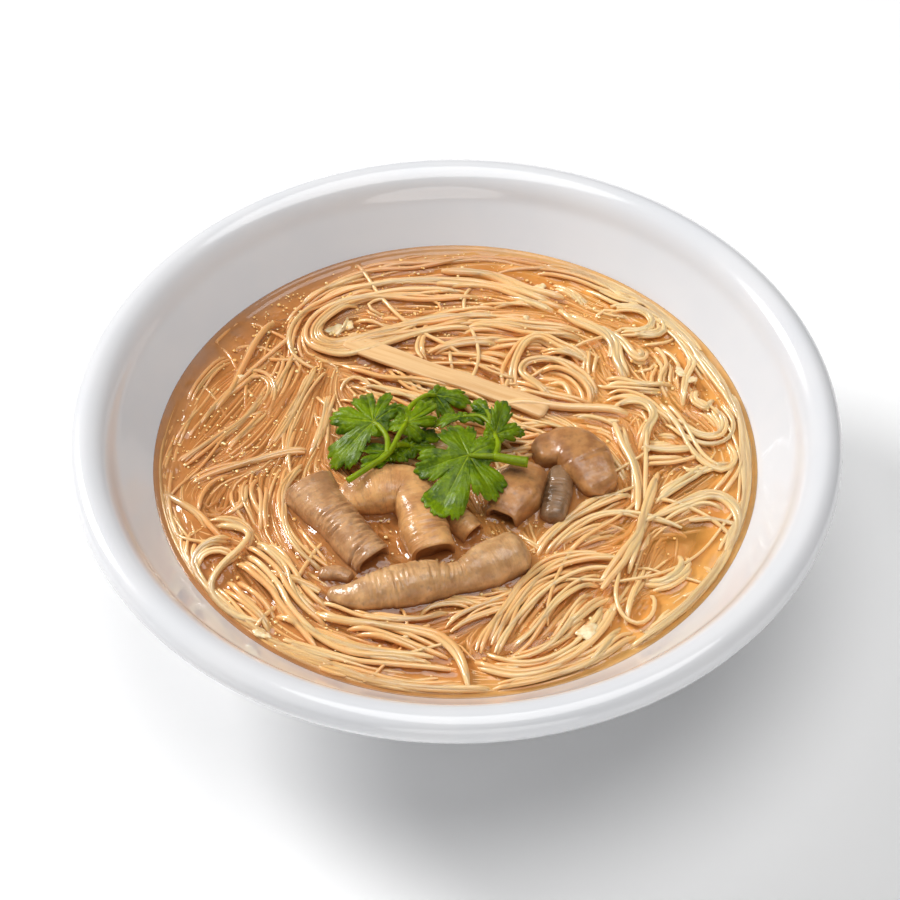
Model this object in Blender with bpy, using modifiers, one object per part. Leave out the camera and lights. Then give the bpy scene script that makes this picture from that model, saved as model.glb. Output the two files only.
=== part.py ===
"""A bowl of fine wheat noodles in broth, with cooked pork intestine, a bamboo strip and coriander.

Every size below is in millimetres, and MM turns it into Blender's metres. The bowl stands on its foot
at the origin, +Z is up, and -Y is the side that faces the viewer.
"""

import math
import random

import bmesh
import bpy
from mathutils import Euler, Matrix, Vector, noise
from mathutils.bvhtree import BVHTree

MM = 0.001
GAP = 0.35  # clearance between neighbouring solids

# Bowl
RIM_RADIUS = 105.0
RIM_HEIGHT = 61.2
MOUTH_RADIUS = 93.0  # where the inner wall turns into the lip
MOUTH_HEIGHT = 55.0
WELL_HEIGHT = 10.5  # inside floor above the table
WALL_CURVE = 2.4  # power of the wall's curve, from a flat floor to a steep mouth
WALL = 5.5
FOOT_RADIUS = 44.0
FOOT_WIDTH = 5.0
FOOT_RECESS = 5.5
TURN_STEPS = 44

# Contents
BROTH_LEVEL = 44.0
HEAP_RADIUS = 79.3
HEAP_TOP = 1.0  # bare heap above the broth level
HEAP_STEPS = 48
NOODLE = 1.8  # diameter of the thicker noodles
NOODLE_STEP = 4.0  # length of one straight piece along a noodle
GUT_SIDES = 10
LEAF_THICKNESS = 0.5
LEAF_NOTCH = 0.68  # how far out the notch between two lobes starts, as a share of the shorter lobe
LEAF_CLEARANCE = 1.3  # from a blade's middle surface down to what it lies on


def clear_scene():
    for obj in list(bpy.data.objects):
        bpy.data.objects.remove(obj)


def collection(name, parent=None):
    found = bpy.data.collections.new(name)
    (parent or bpy.context.scene.collection).children.link(found)
    return found


def material(name, colour, roughness):
    """A plain surface of that colour; nothing here is metal."""
    made = bpy.data.materials.new(name)
    made.use_nodes = True
    shader = made.node_tree.nodes["Principled BSDF"]
    shader.inputs["Base Color"].default_value = (*colour, 1.0)
    shader.inputs["Roughness"].default_value = roughness
    shader.inputs["Metallic"].default_value = 0.0
    return made


def mesh_object(name, bm, home, finish=None):
    """Closes a bmesh into an object whose points are turned from millimetres into metres."""
    bmesh.ops.recalc_face_normals(bm, faces=bm.faces)
    bmesh.ops.scale(bm, vec=(MM, MM, MM), verts=bm.verts)
    bmesh.ops.triangulate(bm, faces=bm.faces)
    if bm.calc_volume(signed=True) < 0:
        bmesh.ops.reverse_faces(bm, faces=bm.faces)
    mesh = bpy.data.meshes.new(name)
    bm.to_mesh(mesh)
    bm.free()
    if finish:
        mesh.materials.append(finish)
    obj = bpy.data.objects.new(name, mesh)
    home.objects.link(obj)
    return obj


def smooth_path(points, step):
    """Points about a step apart on the Catmull-Rom curve through the given points."""
    given = [Vector(p) for p in points]
    padded = [2 * given[0] - given[1], *given, 2 * given[-1] - given[-2]]
    path = [given[0]]
    for before, start, end, after in zip(padded, padded[1:], padded[2:], padded[3:]):
        count = max(1, round((end - start).length / step))
        for k in range(1, count + 1):
            t = k / count
            path.append(
                0.5 * (2 * start + (end - before) * t
                       + (2 * before - 5 * start + 4 * end - after) * t**2
                       + (3 * start - before - 3 * end + after) * t**3)
            )
    return path


def thinned(path, turn=21.0, longest=24.0):
    """The path without the points where it runs nearly straight on."""
    kept = [path[0]]
    for here, after in zip(path[1:], path[2:]):
        bend = math.degrees((after - here).angle(here - kept[-1]))
        if bend > turn or (after - kept[-1]).length > longest:
            kept.append(here)
    return [*kept, path[-1]]


def grown(obj, by):
    """A cutter: a copy of the object with every point pushed out by that many millimetres."""
    bm = bmesh.new()
    bm.from_mesh(obj.data)
    bmesh.ops.remove_doubles(bm, verts=bm.verts, dist=1e-6)
    bm.normal_update()
    pushed = [v.co + v.normal * by * MM for v in bm.verts]
    for vertex, place in zip(bm.verts, pushed):
        vertex.co = place
    mesh = bpy.data.meshes.new(obj.name + "_cutter")
    bm.to_mesh(mesh)
    bm.free()
    cutter = bpy.data.objects.new(obj.name + "_cutter", mesh)
    cutter.hide_render = True
    cutter.display_type = "WIRE"
    cutters.objects.link(cutter)
    return cutter


def applied(obj):
    """Puts the evaluated mesh in place of the object's own and clears its modifiers."""
    bpy.context.view_layer.update()
    graph = bpy.context.evaluated_depsgraph_get()
    mesh = bpy.data.meshes.new_from_object(obj.evaluated_get(graph))
    obj.modifiers.clear()
    obj.data = mesh
    return obj


def largest_shell(obj):
    """Keeps one closed shell, so that scraps go and sealed hollows are filled."""
    bm = bmesh.new()
    bm.from_mesh(obj.data)
    left, shells = set(bm.verts), []
    while left:
        todo, shell = [left.pop()], []
        while todo:
            vertex = todo.pop()
            shell.append(vertex)
            near = {e.other_vert(vertex) for e in vertex.link_edges} & left
            left -= near
            todo += near
        shells.append(shell)
    shells.sort(key=len)
    for shell in shells[:-1]:
        bmesh.ops.delete(bm, geom=shell, context="VERTS")
    bmesh.ops.triangulate(bm, faces=bm.faces)
    bm.to_mesh(obj.data)
    bm.free()


def surface_tree(obj):
    points = [v.co for v in obj.data.vertices]
    return BVHTree.FromPolygons(points, [p.vertices for p in obj.data.polygons])


def boolean(obj, operation, other, solver="EXACT"):
    """Joins or cuts the object with another, or with a whole collection, and applies it."""
    cut = obj.modifiers.new(operation.lower(), "BOOLEAN")
    cut.operation = operation
    cut.solver = solver
    if isinstance(other, bpy.types.Collection):
        cut.operand_type = "COLLECTION"
        cut.collection = other
    else:
        cut.object = other
    applied(obj)
    largest_shell(obj)


# ---------------------------------------------------------------- bowl and broth


def wall_height(radius):
    """Height of the inner wall at that distance from the axis."""
    rise = MOUTH_HEIGHT - WELL_HEIGHT
    return WELL_HEIGHT + rise * (radius / MOUTH_RADIUS) ** WALL_CURVE


def wall_radius(height):
    """Distance of the inner wall from the axis at that height."""
    share = (height - WELL_HEIGHT) / (MOUTH_HEIGHT - WELL_HEIGHT)
    return MOUTH_RADIUS * share ** (1 / WALL_CURVE)


def off_wall(radius, distance):
    """The wall's point at that radius, moved square to the wall and away from the inside."""
    nudge = 0.01
    slope = (wall_height(radius + nudge) - wall_height(radius)) / nudge
    length = math.hypot(1, slope)
    return radius + distance * slope / length, wall_height(radius) - distance / length


def turned(name, profile, home, finish):
    """A profile of (radius, height) points turned round the Z axis."""
    bm = bmesh.new()
    points = [bm.verts.new((radius * MM, 0, height * MM)) for radius, height in profile]
    for start, end in zip(points, points[1:]):
        bm.edges.new((start, end))
    mesh = bpy.data.meshes.new(name)
    bm.to_mesh(mesh)
    bm.free()
    mesh.materials.append(finish)
    obj = bpy.data.objects.new(name, mesh)
    home.objects.link(obj)
    turn = obj.modifiers.new("turn", "SCREW")
    turn.steps = turn.render_steps = TURN_STEPS
    turn.use_merge_vertices = True
    turn.merge_threshold = 1e-5
    turn.use_smooth_shade = True
    return obj


def make_bowl(home):
    """A thick hotel-ware bowl: a curved wall, a broad rounded lip and a turned foot."""
    inside = [(r, wall_height(r)) for r in (0.0, 32.0, 50.0, 65.0, 77.0, 86.0, MOUTH_RADIUS)]
    lip = [
        (MOUTH_RADIUS + 2.6, RIM_HEIGHT - 2.6),
        (MOUTH_RADIUS + 6.2, RIM_HEIGHT),
        (RIM_RADIUS - 2.6, RIM_HEIGHT - 0.9),
        (RIM_RADIUS, RIM_HEIGHT - 4.4),
        (RIM_RADIUS - 1.2, RIM_HEIGHT - 7.6),
        (RIM_RADIUS - 4.8, RIM_HEIGHT - 9.6),
    ]
    outside = [off_wall(r, WALL) for r in (88.0, 78.0, 66.0, 52.0)]
    foot_top = off_wall(FOOT_RADIUS, WALL)[1]
    foot = [
        (FOOT_RADIUS + 1.5, foot_top),
        (FOOT_RADIUS, 0.8),
        (FOOT_RADIUS - 0.8, 0.0),
        (FOOT_RADIUS - FOOT_WIDTH + 0.8, 0.0),
        (FOOT_RADIUS - FOOT_WIDTH, 0.8),
        (FOOT_RADIUS - FOOT_WIDTH - 1.2, FOOT_RECESS),
        (0.0, FOOT_RECESS),
    ]
    china = material("china", (0.86, 0.87, 0.88), 0.12)
    return turned("bowl", inside + lip + outside + foot, home, china)


def make_broth(home):
    """The liquid as a plain turned body, before the heap and the toppings are cut out of it."""
    edge = wall_radius(BROTH_LEVEL)
    wetted = [off_wall(r, -GAP) for r in (65.0, 50.0, 32.0)]
    profile = [
        (0.0, BROTH_LEVEL),
        (edge - 1.5 * GAP, BROTH_LEVEL),
        (77.0 - GAP, off_wall(77.0, -GAP)[1]),
        *wetted,
        (0.0, WELL_HEIGHT + GAP),
    ]
    return turned("broth", profile, home, material("broth", (0.55, 0.27, 0.08), 0.08))


# ---------------------------------------------------------------- heap of noodles


def heap_edge(angle):
    """Distance of the heap's uneven edge from the axis, with open broth behind and at the right."""
    wave = noise.noise(Vector((1.9 * math.cos(angle), 1.9 * math.sin(angle), 4.0)))
    behind = max(0.0, math.cos(angle - math.radians(122))) ** 6
    inlet = max(0.0, math.cos(angle - math.radians(-23))) ** 60
    return HEAP_RADIUS + 2.2 * wave - 5.5 * behind - 10.0 * inlet


def heap_height(x, y):
    """Height of the bare heap above the broth level: gently lumpy, and flatter where the toppings lie."""
    lumps = max(0.0, noise.noise(Vector((0.05 * x, 0.05 * y, 2.0))))
    outside = min(1.0, max(0.0, (math.hypot(x, y + 20) - 30) / 20))
    return HEAP_TOP + 1.6 * lumps * outside


def make_core(home, finish):
    """The bare heap: a sphere whose rings are moved onto the uneven top, side and underside."""
    tops = [1.0, 0.97, 0.89, 0.79, 0.68, 0.56, 0.43, 0.29, 0.15, 0.0]
    unders = [(0.0, 16.0), (0.45, 19.5), (0.68, 27.5), (0.86, 35.5), (0.965, BROTH_LEVEL - 2.0)]
    rings = len(tops) + len(unders) - 1
    bm = bmesh.new()
    bmesh.ops.create_uvsphere(bm, u_segments=HEAP_STEPS, v_segments=rings, radius=1.0)
    for vertex in bm.verts:
        ring = round((math.asin(max(-1.0, min(1.0, vertex.co.z))) / math.pi + 0.5) * rings)
        angle = math.atan2(vertex.co.y, vertex.co.x)
        if ring < len(unders):
            share, height = unders[ring]
        else:
            share, height = tops[ring - len(unders)], None
        reach = share * heap_edge(angle) if share else 0.0
        x, y = reach * math.cos(angle), reach * math.sin(angle)
        if height is None:
            drop = 0.5 if share == 1.0 else 0.0
            height = BROTH_LEVEL + heap_height(x, y) - drop
        vertex.co = (x, y, height)
    return mesh_object("noodles", bm, home, finish)


# Noodle sweeps as they lie on the heap: how many side by side, then a few places each runs through.
SWEEPS = (
    (2, (30, 55), (-8, 60), (-34, 60), (-42, 50), (-34, 42), (-8, 49), (18, 50)),
    (2, (-52, 50), (-20, 69), (12, 69), (36, 61), (52, 42)),
    (2, (-8, 38), (-8, 48), (0, 55), (22, 54), (42, 46)),
    (3, (-38, 36), (-52, 20), (-64, 0), (-70, -14)),
    (2, (-28, 28), (-38, 12), (-44, -5)),
    (2, (-50, 56), (-62, 38), (-73, 12)),
    (1, (-72, -8), (-58, 3), (-44, 2)),
    (1, (-54, -14), (-60, -5), (-68, -8), (-69, -16), (-60, -20)),
    (2, (-70, -22), (-56, -28), (-50, -42), (-38, -57), (-10, -62)),
    (3, (-62, -42), (-44, -62), (-14, -71), (14, -69), (34, -60)),
    (1, (-16, -58), (-4, -60), (1, -67), (2, -76)),
    (2, (8, -64), (20, -52), (36, -44), (51, -42)),
    (1, (34, -66), (47, -54), (58, -42)),
    (1, (45, -47), (50, -43), (55, -48), (52, -55), (45, -54)),
    (2, (57, -3), (50, -28), (43, -45), (36, -60)),
    (2, (18, -34), (34, -20), (48, -13), (62, -11)),
    (2, (56, 14), (60, -2), (68, -10)),
    (2, (17, 28), (18, 39), (26, 45), (36, 40), (42, 28), (50, 20)),
    (2, (46, 62), (60, 50), (68, 38), (65, 27), (55, 23)),
    (1, (54, 30), (66, 22), (74, 8), (73, -6)),
    (1, (18, 17), (34, 21), (52, 14)),
)


def noodle_height(x, y):
    """Height of a noodle's middle: half sunk in the heap, and never down into the broth."""
    clear_of_broth = BROTH_LEVEL + GAP + NOODLE / 2
    return max(BROTH_LEVEL + heap_height(x, y) + 0.2 * NOODLE, clear_of_broth)


def tube(name, path, radius, home, finish, bevel_resolution=1):
    """A round rod along a path of points in millimetres, as one closed mesh."""
    curve = bpy.data.curves.new(name, "CURVE")
    curve.dimensions = "3D"
    curve.bevel_depth = radius * MM
    curve.bevel_resolution = bevel_resolution
    curve.use_fill_caps = True
    spline = curve.splines.new("POLY")
    spline.points.add(len(path) - 1)
    for point, place in zip(spline.points, path):
        point.co = (*(Vector(place) * MM), 1.0)
    guide = bpy.data.objects.new(name, curve)
    home.objects.link(guide)
    bpy.context.view_layer.update()
    mesh = bpy.data.meshes.new_from_object(guide.evaluated_get(bpy.context.evaluated_depsgraph_get()))
    bpy.data.objects.remove(guide)
    bm = bmesh.new()
    bm.from_mesh(mesh)
    bmesh.ops.remove_doubles(bm, verts=bm.verts, dist=1e-5)
    bmesh.ops.recalc_face_normals(bm, faces=bm.faces)
    bm.to_mesh(mesh)
    bm.free()
    mesh.materials.clear()
    mesh.materials.append(finish)
    obj = bpy.data.objects.new(name, mesh)
    home.objects.link(obj)
    return obj


def lay_noodles(home, finish, around):
    """Noodles side by side along every sweep, each ending short of the toppings it would run into."""
    draw = random.Random(11)
    trees = [surface_tree(topping) for topping in around]
    keep_off = (NOODLE / 2 + GAP + 1.2) * MM
    for sweep, (count, *places) in enumerate(SWEEPS):
        middle = smooth_path([(x, y, 0.0) for x, y in places], NOODLE_STEP)
        for row in range(count):
            offset = (row - (count - 1) / 2) * 1.9 * NOODLE
            path = []
            for before, here, after in zip(middle[:1] + middle, middle, middle[1:] + middle[-1:]):
                along = (after - before).normalized()
                side = Vector((-along.y, along.x, 0.0))
                at = here + side * (offset + draw.uniform(-0.25, 0.25))
                at.z = noodle_height(at.x, at.y) + 0.12 * row
                blocked = any(tree.find_nearest(at * MM, keep_off)[0] for tree in trees)
                if blocked and len(path) > 4:
                    break
                if blocked:
                    path = []
                elif math.hypot(at.x, at.y) < heap_edge(math.atan2(at.y, at.x)) - NOODLE:
                    path.append(at)
            if len(path) > 4:
                tube(f"noodle_{sweep}_{row}", thinned(path), NOODLE / 2, home, finish)


# ---------------------------------------------------------------- toppings

# Each cooked intestine: its middle line (x, y, height over the broth), half-widths along it,
# how flat it lies, and which ends are cut open.
GUTS = {
    "intestine_left": (((-39.5, -14.5, 2.2), (-36.5, -19.5, 2.4), (-31.6, -25.7, 2.6),
                        (-26.4, -33, 2.5), (-21.8, -38.6, 2.2)),
                       (7.6, 6.4, 6.0, 5.8, 5.5), 0.86, (True, True)),
    "intestine_bent": (((-29.5, -18, 2.0), (-20.5, -15, 2.8), (-13, -15.5, 3.2), (-10, -21.5, 3.0),
                        (-8, -29.5, 2.8), (-5.6, -36.6, 2.4)),
                       (4.6, 7.0, 6.8, 6.2, 6.8, 6.2), 0.86, (False, True)),
    "intestine_short": (((-1.4, -22.8, 1.6), (1.8, -26, 1.8), (4.6, -28.9, 1.6)),
                        (3.8, 4.0, 3.7), 1.0, (False, True)),
    "intestine_long": (((-32, -49.5, 0.6), (-26, -50.4, 1.4), (-17, -48.6, 2.2), (-7, -46.2, 2.4),
                        (2, -44.2, 2.0), (9, -40.4, 2.2), (15, -37.2, 2.2)),
                       (2.4, 4.8, 6.0, 6.1, 5.0, 6.3, 6.5), 0.95, (False, False)),
    "intestine_flap": (((12.8, -23.5, 2.0), (16.2, -17, 3.2), (19.6, -9.6, 2.6)),
                       (4.8, 7.2, 5.8), 0.62, (True, False)),
    "intestine_dark": (((26.5, -22, 0.8), (28, -14.6, 1.4), (28.6, -8, 1.2)),
                       (3.6, 4.2, 3.4), 0.9, (False, False)),
    "intestine_right": (((25, 0.2, 1.8), (31, 0.2, 2.6), (35.9, -4.8, 2.8), (39.2, -11.6, 2.0)),
                        (5.2, 7.2, 7.4, 5.2), 0.66, (False, False)),
    "intestine_scrap": (((-35, -42.5, 0.8), (-31.5, -42.6, 1.2), (-28.5, -43.6, 0.8)),
                        (1.9, 2.2, 1.8), 1.0, (False, False)),
}
GUT_WALL = 1.5
GUT_STEP = 4.0
GUT_HOLE_DEPTH = 3.0


def width_along(widths, share):
    """The half-width at a share of the length, by a smooth blend between the given ones."""
    place = share * (len(widths) - 1)
    k = min(int(place), len(widths) - 2)
    t = place - k
    t = t * t * (3 - 2 * t)
    return widths[k] * (1 - t) + widths[k + 1] * t


def gut_rings(route, widths, flat, open_ends):
    """The rings of a cooked intestine from one end to the other, as (centre, along, half-width)."""
    path = smooth_path(route, GUT_STEP)
    rings = []
    for k, (before, here, after) in enumerate(zip(path[:1] + path, path, path[1:] + path[-1:])):
        share = k / (len(path) - 1)
        crease = 1 + 0.05 * (-1) ** k
        rings.append((here, (after - before).normalized(), width_along(widths, share) * crease))
    first, last = rings[0], rings[-1]
    start, end = [], []
    for ring, side, opened, out in ((first, -1, open_ends[0], start), (last, 1, open_ends[1], end)):
        centre, along, width = ring
        if opened:
            lip = centre - along * side * 0.3
            out.append((lip, along, width - GUT_WALL))
            out.append((centre - along * side * GUT_HOLE_DEPTH, along, (width - GUT_WALL) * 0.85))
        else:
            out.append((centre + along * side * width * 0.45, along, width * 0.72))
            out.append((centre + along * side * width * 0.72, along, width * 0.3))
    return start[::-1] + rings + end


def make_gut(name, home, finish):
    """A loft through the rings: a flattened, creased tube, closed or cut open at its ends."""
    route, widths, flat, open_ends = GUTS[name]
    rings = gut_rings([(x, y, BROTH_LEVEL + z) for x, y, z in route], widths, flat, open_ends)
    bm = bmesh.new()
    rows = []
    for centre, along, width in rings:
        side = Vector((-along.y, along.x, 0.0)).normalized()
        upward = along.cross(side) * -1 if along.cross(side).z < 0 else along.cross(side)
        row = []
        for k in range(GUT_SIDES):
            angle = 2 * math.pi * k / GUT_SIDES
            place = centre + side * width * math.cos(angle) + upward * width * flat * math.sin(angle)
            row.append(bm.verts.new(place))
        rows.append(row)
    for one, two in zip(rows, rows[1:]):
        for k in range(GUT_SIDES):
            following = (k + 1) % GUT_SIDES
            bm.faces.new((one[k], one[following], two[following], two[k]))
    for row in (rows[0], rows[-1]):
        pole = bm.verts.new(sum((v.co for v in row), Vector()) / GUT_SIDES)
        for k in range(GUT_SIDES):
            bm.faces.new((row[k], row[(k + 1) % GUT_SIDES], pole))
    return mesh_object(name, bm, home, finish)


def make_strip(home, finish):
    """A flat strip of bamboo shoot that lies flush among the noodles behind the toppings."""
    start, end, width, thickness = Vector((-31.5, 41.5, 0)), Vector((25.5, 14.6, 0)), 6.2, 1.4
    run = end - start
    bm = bmesh.new()
    bmesh.ops.create_cube(bm, size=1.0)
    bmesh.ops.scale(bm, vec=(run.length, width, thickness), verts=bm.verts)
    lengthwise = [e for e in bm.edges if abs((e.verts[0].co - e.verts[1].co).x) > 1]
    bmesh.ops.subdivide_edges(bm, edges=lengthwise, cuts=7, use_grid_fill=True)
    for vertex in bm.verts:
        vertex.co.z -= 0.0004 * vertex.co.x**2
        vertex.co.y += 0.0008 * vertex.co.x**2
    turn = Matrix.Rotation(math.atan2(run.y, run.x), 4, "Z")
    bmesh.ops.transform(bm, matrix=turn, verts=bm.verts)
    bmesh.ops.translate(bm, vec=(start + end) / 2 + Vector((0, 0, BROTH_LEVEL + 12)), verts=bm.verts)
    return mesh_object("bamboo_strip", bm, home, finish)


# Coriander leaves: where the veins meet, how the blade is turned (pitch, roll, heading in degrees),
# how much it cups, and its lobes as (direction in degrees, length, half-angle).
LEAVES = {
    "sprig_right": (
        ((3.6, -10.0, 12.0), (8, 4, 0), 0.010,
         ((112, 11.2, 34), (30, 8.8, 34), (300, 13.6, 24), (246, 20.4, 22), (197, 14.0, 20))),
        ((10.8, -1.6, 11.0), (28, 14, 0), 0.02, ((78, 10.0, 26), (26, 6.8, 26), (130, 3.4, 22))),
        ((2.4, 6.8, 9.2), (-14, 0, 0), 0.03, ((182, 8.0, 24), (6, 7.4, 24), (95, 3.0, 34))),
        ((8.6, 9.6, 8.4), (-8, 0, 0), 0.02, ((126, 5.4, 30), (306, 3.4, 30))),
        ((14.8, 3.4, 8.6), (0, 10, 0), 0.02, ((338, 4.2, 34), (158, 3.4, 30))),
    ),
    "sprig_left": (
        ((-22.5, 5.0, 8.8), (6, -8, 0), 0.014,
         ((101, 12.8, 20), (72, 11.0, 14), (34, 9.0, 18), (164, 12.0, 26), (221, 15.5, 22))),
        ((-13.5, 3.5, 10.0), (18, 10, 0), 0.018,
         ((44, 11.0, 26), (18, 8.0, 16), (326, 6.0, 30), (96, 5.2, 30), (200, 4.2, 30))),
        ((-5.5, 17.0, 6.6), (6, 0, 0), 0.02, ((350, 8.8, 26), (303, 7.4, 24), (64, 4.2, 30), (236, 5.0, 30))),
        ((-17.0, -3.2, 6.0), (0, 8, 0), 0.01, ((218, 10.0, 26), (180, 8.0, 24), (320, 4.6, 34))),
        ((-12.8, -1.6, 6.4), (4, 6, 0), 0.01, ((34, 10.0, 20), (6, 6.6, 22), (286, 3.8, 30))),
    ),
}
# Stalks: radius, and the places each runs through over the broth; a number stands for a leaf's middle.
STALKS = {
    "sprig_right": (
        (1.4, ((19.6, -11.4, 10.6), (14.8, -10.9, 11.2), (10.4, -10.2, 11.8))),
        (0.8, ((10.8, -10.2, 11.8), (7.0, -10.4, 12.1), 0)),
        (0.8, ((10.8, -10.2, 11.8), (11.6, -6.0, 11.6), 1)),
        (0.7, (1, (9.6, 2.6, 10.6), (6.6, 6.2, 9.8), 2)),
        (0.7, ((9.6, 3.4, 10.4), (9.4, 6.6, 9.4), 3)),
        (0.7, ((10.4, 1.0, 10.6), (12.8, 2.6, 9.6), 4)),
    ),
    "sprig_left": (
        (0.8, ((-29.0, -16.8, 9.2), (-22.6, -11.8, 9.8), (-18.0, -7.4, 10.0), (-15.2, -0.6, 10.2), 1)),
        (0.8, ((-18.4, -7.8, 10.0), (-18.6, -2.0, 9.8), (-20.6, 2.6, 9.4), 0)),
        (0.8, (1, (-12.6, 9.6, 9.4), (-8.4, 15.4, 8.0), 2)),
        (0.8, ((-20.2, -9.8, 9.9), (-18.6, -6.0, 8.2), 3)),
        (0.8, ((-16.2, -4.4, 10.0), (-14.4, -2.8, 8.2), 4)),
    ),
}


def top_below(trees, x, y):
    """Height of the highest surface under that place, in millimetres."""
    start, down = Vector((x * MM, y * MM, 1.0)), Vector((0, 0, -1))
    hits = [tree.ray_cast(start, down)[0] for tree in trees]
    return max([hit.z / MM for hit in hits if hit], default=0.0)


def draped(places, clearance, trees):
    """The same places, lifted wherever they would come nearer to what lies beneath than that."""
    return [Vector((x, y, max(z, top_below(trees, x, y) + clearance))) for x, y, z in places]


def blade_outline(lobes):
    """The blade's edge as (angle, reach): four points round each lobe and a notch before the next."""
    lobes = sorted(lobes)
    edge = []
    for before, (direction, length, half), after in zip(lobes[-1:] + lobes, lobes, lobes[1:] + lobes[:1]):
        room_before = min(half, 0.44 * ((direction - before[0]) % 360))
        room_after = min(half, 0.44 * ((after[0] - direction) % 360))
        edge += [
            (direction - room_before, 0.8 * length),
            (direction - 0.36 * room_before, 0.98 * length),
            (direction + 0.36 * room_after, 0.95 * length),
            (direction + room_after, 0.82 * length),
        ]
        next_room = min(after[2], 0.44 * ((after[0] - direction) % 360))
        to_notch = (((after[0] - direction) % 360) - next_room + room_after) / 2
        edge.append((direction + to_notch, LEAF_NOTCH * min(length, after[1])))
    return [(math.radians(angle), reach) for angle, reach in edge]


def make_leaf(name, centre, turn, cup, lobes, home, finish, beneath):
    """A thin wavy blade: rings of triangles about the veins' meeting point, on both faces alike."""
    edge = blade_outline(lobes)
    bm = bmesh.new()
    middle = bm.verts.new((0, 0, 0))
    rows = []
    for share in (0.4, 1.0):
        row = []
        for angle, reach in edge:
            x, y = share * reach * math.cos(angle), share * reach * math.sin(angle)
            wave = 0.45 * math.sin(5 * angle + 2 * share) * share
            row.append(bm.verts.new((x, y, wave - cup * (share * reach) ** 2)))
        rows.append(row)
    for k in range(len(edge)):
        following = (k + 1) % len(edge)
        bm.faces.new((middle, rows[0][k], rows[0][following]))
        bm.faces.new((rows[0][k], rows[1][k], rows[1][following]))
        bm.faces.new((rows[0][k], rows[1][following], rows[0][following]))
    pitch, roll, heading = (math.radians(a) for a in turn)
    matrix = Matrix.Translation(Vector(centre) + Vector((0, 0, BROTH_LEVEL)))
    matrix @= Euler((pitch, roll, heading)).to_matrix().to_4x4()
    bmesh.ops.transform(bm, matrix=matrix, verts=bm.verts)
    for vertex, place in zip(bm.verts, draped([v.co for v in bm.verts], LEAF_CLEARANCE, beneath)):
        vertex.co = place
    leaf = mesh_object(name, bm, home, finish)
    skin = leaf.modifiers.new("thickness", "SOLIDIFY")
    skin.thickness = LEAF_THICKNESS * MM
    skin.offset = 0.0
    applied(leaf)
    return leaf


def make_sprig(name, home, finish, beneath):
    """One cut sprig of coriander: its stalks and blades grown together into one piece."""
    pieces = collection(name + "_pieces", home)
    over_broth = Vector((0, 0, BROTH_LEVEL))
    middles = [Vector(leaf[0]) + over_broth for leaf in LEAVES[name]]
    middles = draped(middles, LEAF_CLEARANCE, beneath)
    for k, (radius, route) in enumerate(STALKS[name]):
        places = [middles[p] if isinstance(p, int) else Vector(p) + over_broth for p in route]
        path = draped(smooth_path(places, 4.0), radius + 0.4, beneath)
        made = tube(f"{name}_stalk_{k}", path, radius, pieces if k else home, finish)
        if k == 0:
            sprig = made
    for k, (centre, turn, cup, lobes) in enumerate(LEAVES[name]):
        make_leaf(f"{name}_leaf_{k}", centre, turn, cup, lobes, pieces, finish, beneath)
    boolean(sprig, "UNION", pieces, "MANIFOLD")
    for piece in list(pieces.objects):
        bpy.data.objects.remove(piece)
    bpy.data.collections.remove(pieces)
    sprig.name = name
    return sprig


def probes(obj):
    """The corners of a mesh, and places along its edges, where it could touch another."""
    points = [v.co for v in obj.data.vertices]
    ends = [(points[a], points[b]) for a, b in (edge.vertices for edge in obj.data.edges)]
    return points + [a.lerp(b, share) for a, b in ends for share in (0.25, 0.5, 0.75)]


def rest_on(obj, supports):
    """Lowers or lifts an object straight down onto the highest thing under any part of it."""
    own = surface_tree(obj)
    lift = Vector((0, 0, 100 * MM))
    room = math.inf
    for support in supports:
        tree = surface_tree(support)
        for place in probes(obj):
            hit = tree.ray_cast(place + lift, -lift)[0]
            if hit:
                room = min(room, place.z - hit.z)
        for place in probes(support):
            hit = own.ray_cast(place - lift, lift)[0]
            if hit:
                room = min(room, hit.z - place.z)
    shift = GAP * MM - room
    for vertex in obj.data.vertices:
        vertex.co.z += shift
    print(f"{obj.name} moved {shift / MM:.2f} mm")


def shade(obj):
    obj.data.shade_smooth()
    obj.data.set_sharp_from_angle(angle=math.radians(40))


clear_scene()
served = collection("bowl_of_noodles")
cutters = collection("cutters")
cutters.hide_render = True

bowl = make_bowl(served)
broth = make_broth(served)
noodle_finish = material("noodle", (0.83, 0.56, 0.30), 0.35)
gut_finish = material("intestine", (0.46, 0.29, 0.17), 0.3)
strip_finish = material("bamboo", (0.78, 0.52, 0.27), 0.4)
leaf_finish = material("coriander", (0.13, 0.32, 0.03), 0.4)

noodles = make_core(served, noodle_finish)
core_cutter = grown(noodles, GAP)
guts = [make_gut(name, served, gut_finish) for name in GUTS]
applied(broth)
boolean(broth, "DIFFERENCE", core_cutter)
taken = [core_cutter]
for gut in guts:
    for cutter in taken:
        boolean(gut, "DIFFERENCE", cutter)
    taken.append(grown(gut, GAP))
    boolean(broth, "DIFFERENCE", taken[-1])

strip = make_strip(served, strip_finish)
rest_on(strip, [noodles])
strands = collection("strands", served)
lay_noodles(strands, noodle_finish, [strip, *guts])
boolean(noodles, "UNION", strands, "MANIFOLD")
for strand in list(strands.objects):
    bpy.data.objects.remove(strand)
bpy.data.collections.remove(strands)

toppings = [noodles, strip, *guts]
for name in LEAVES:
    sprig = make_sprig(name, served, leaf_finish, [surface_tree(topping) for topping in toppings])
    rest_on(sprig, toppings)
    toppings.append(sprig)

for obj in served.objects:
    if obj != bowl:
        shade(obj)
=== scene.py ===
# %% [markdown]
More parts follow.
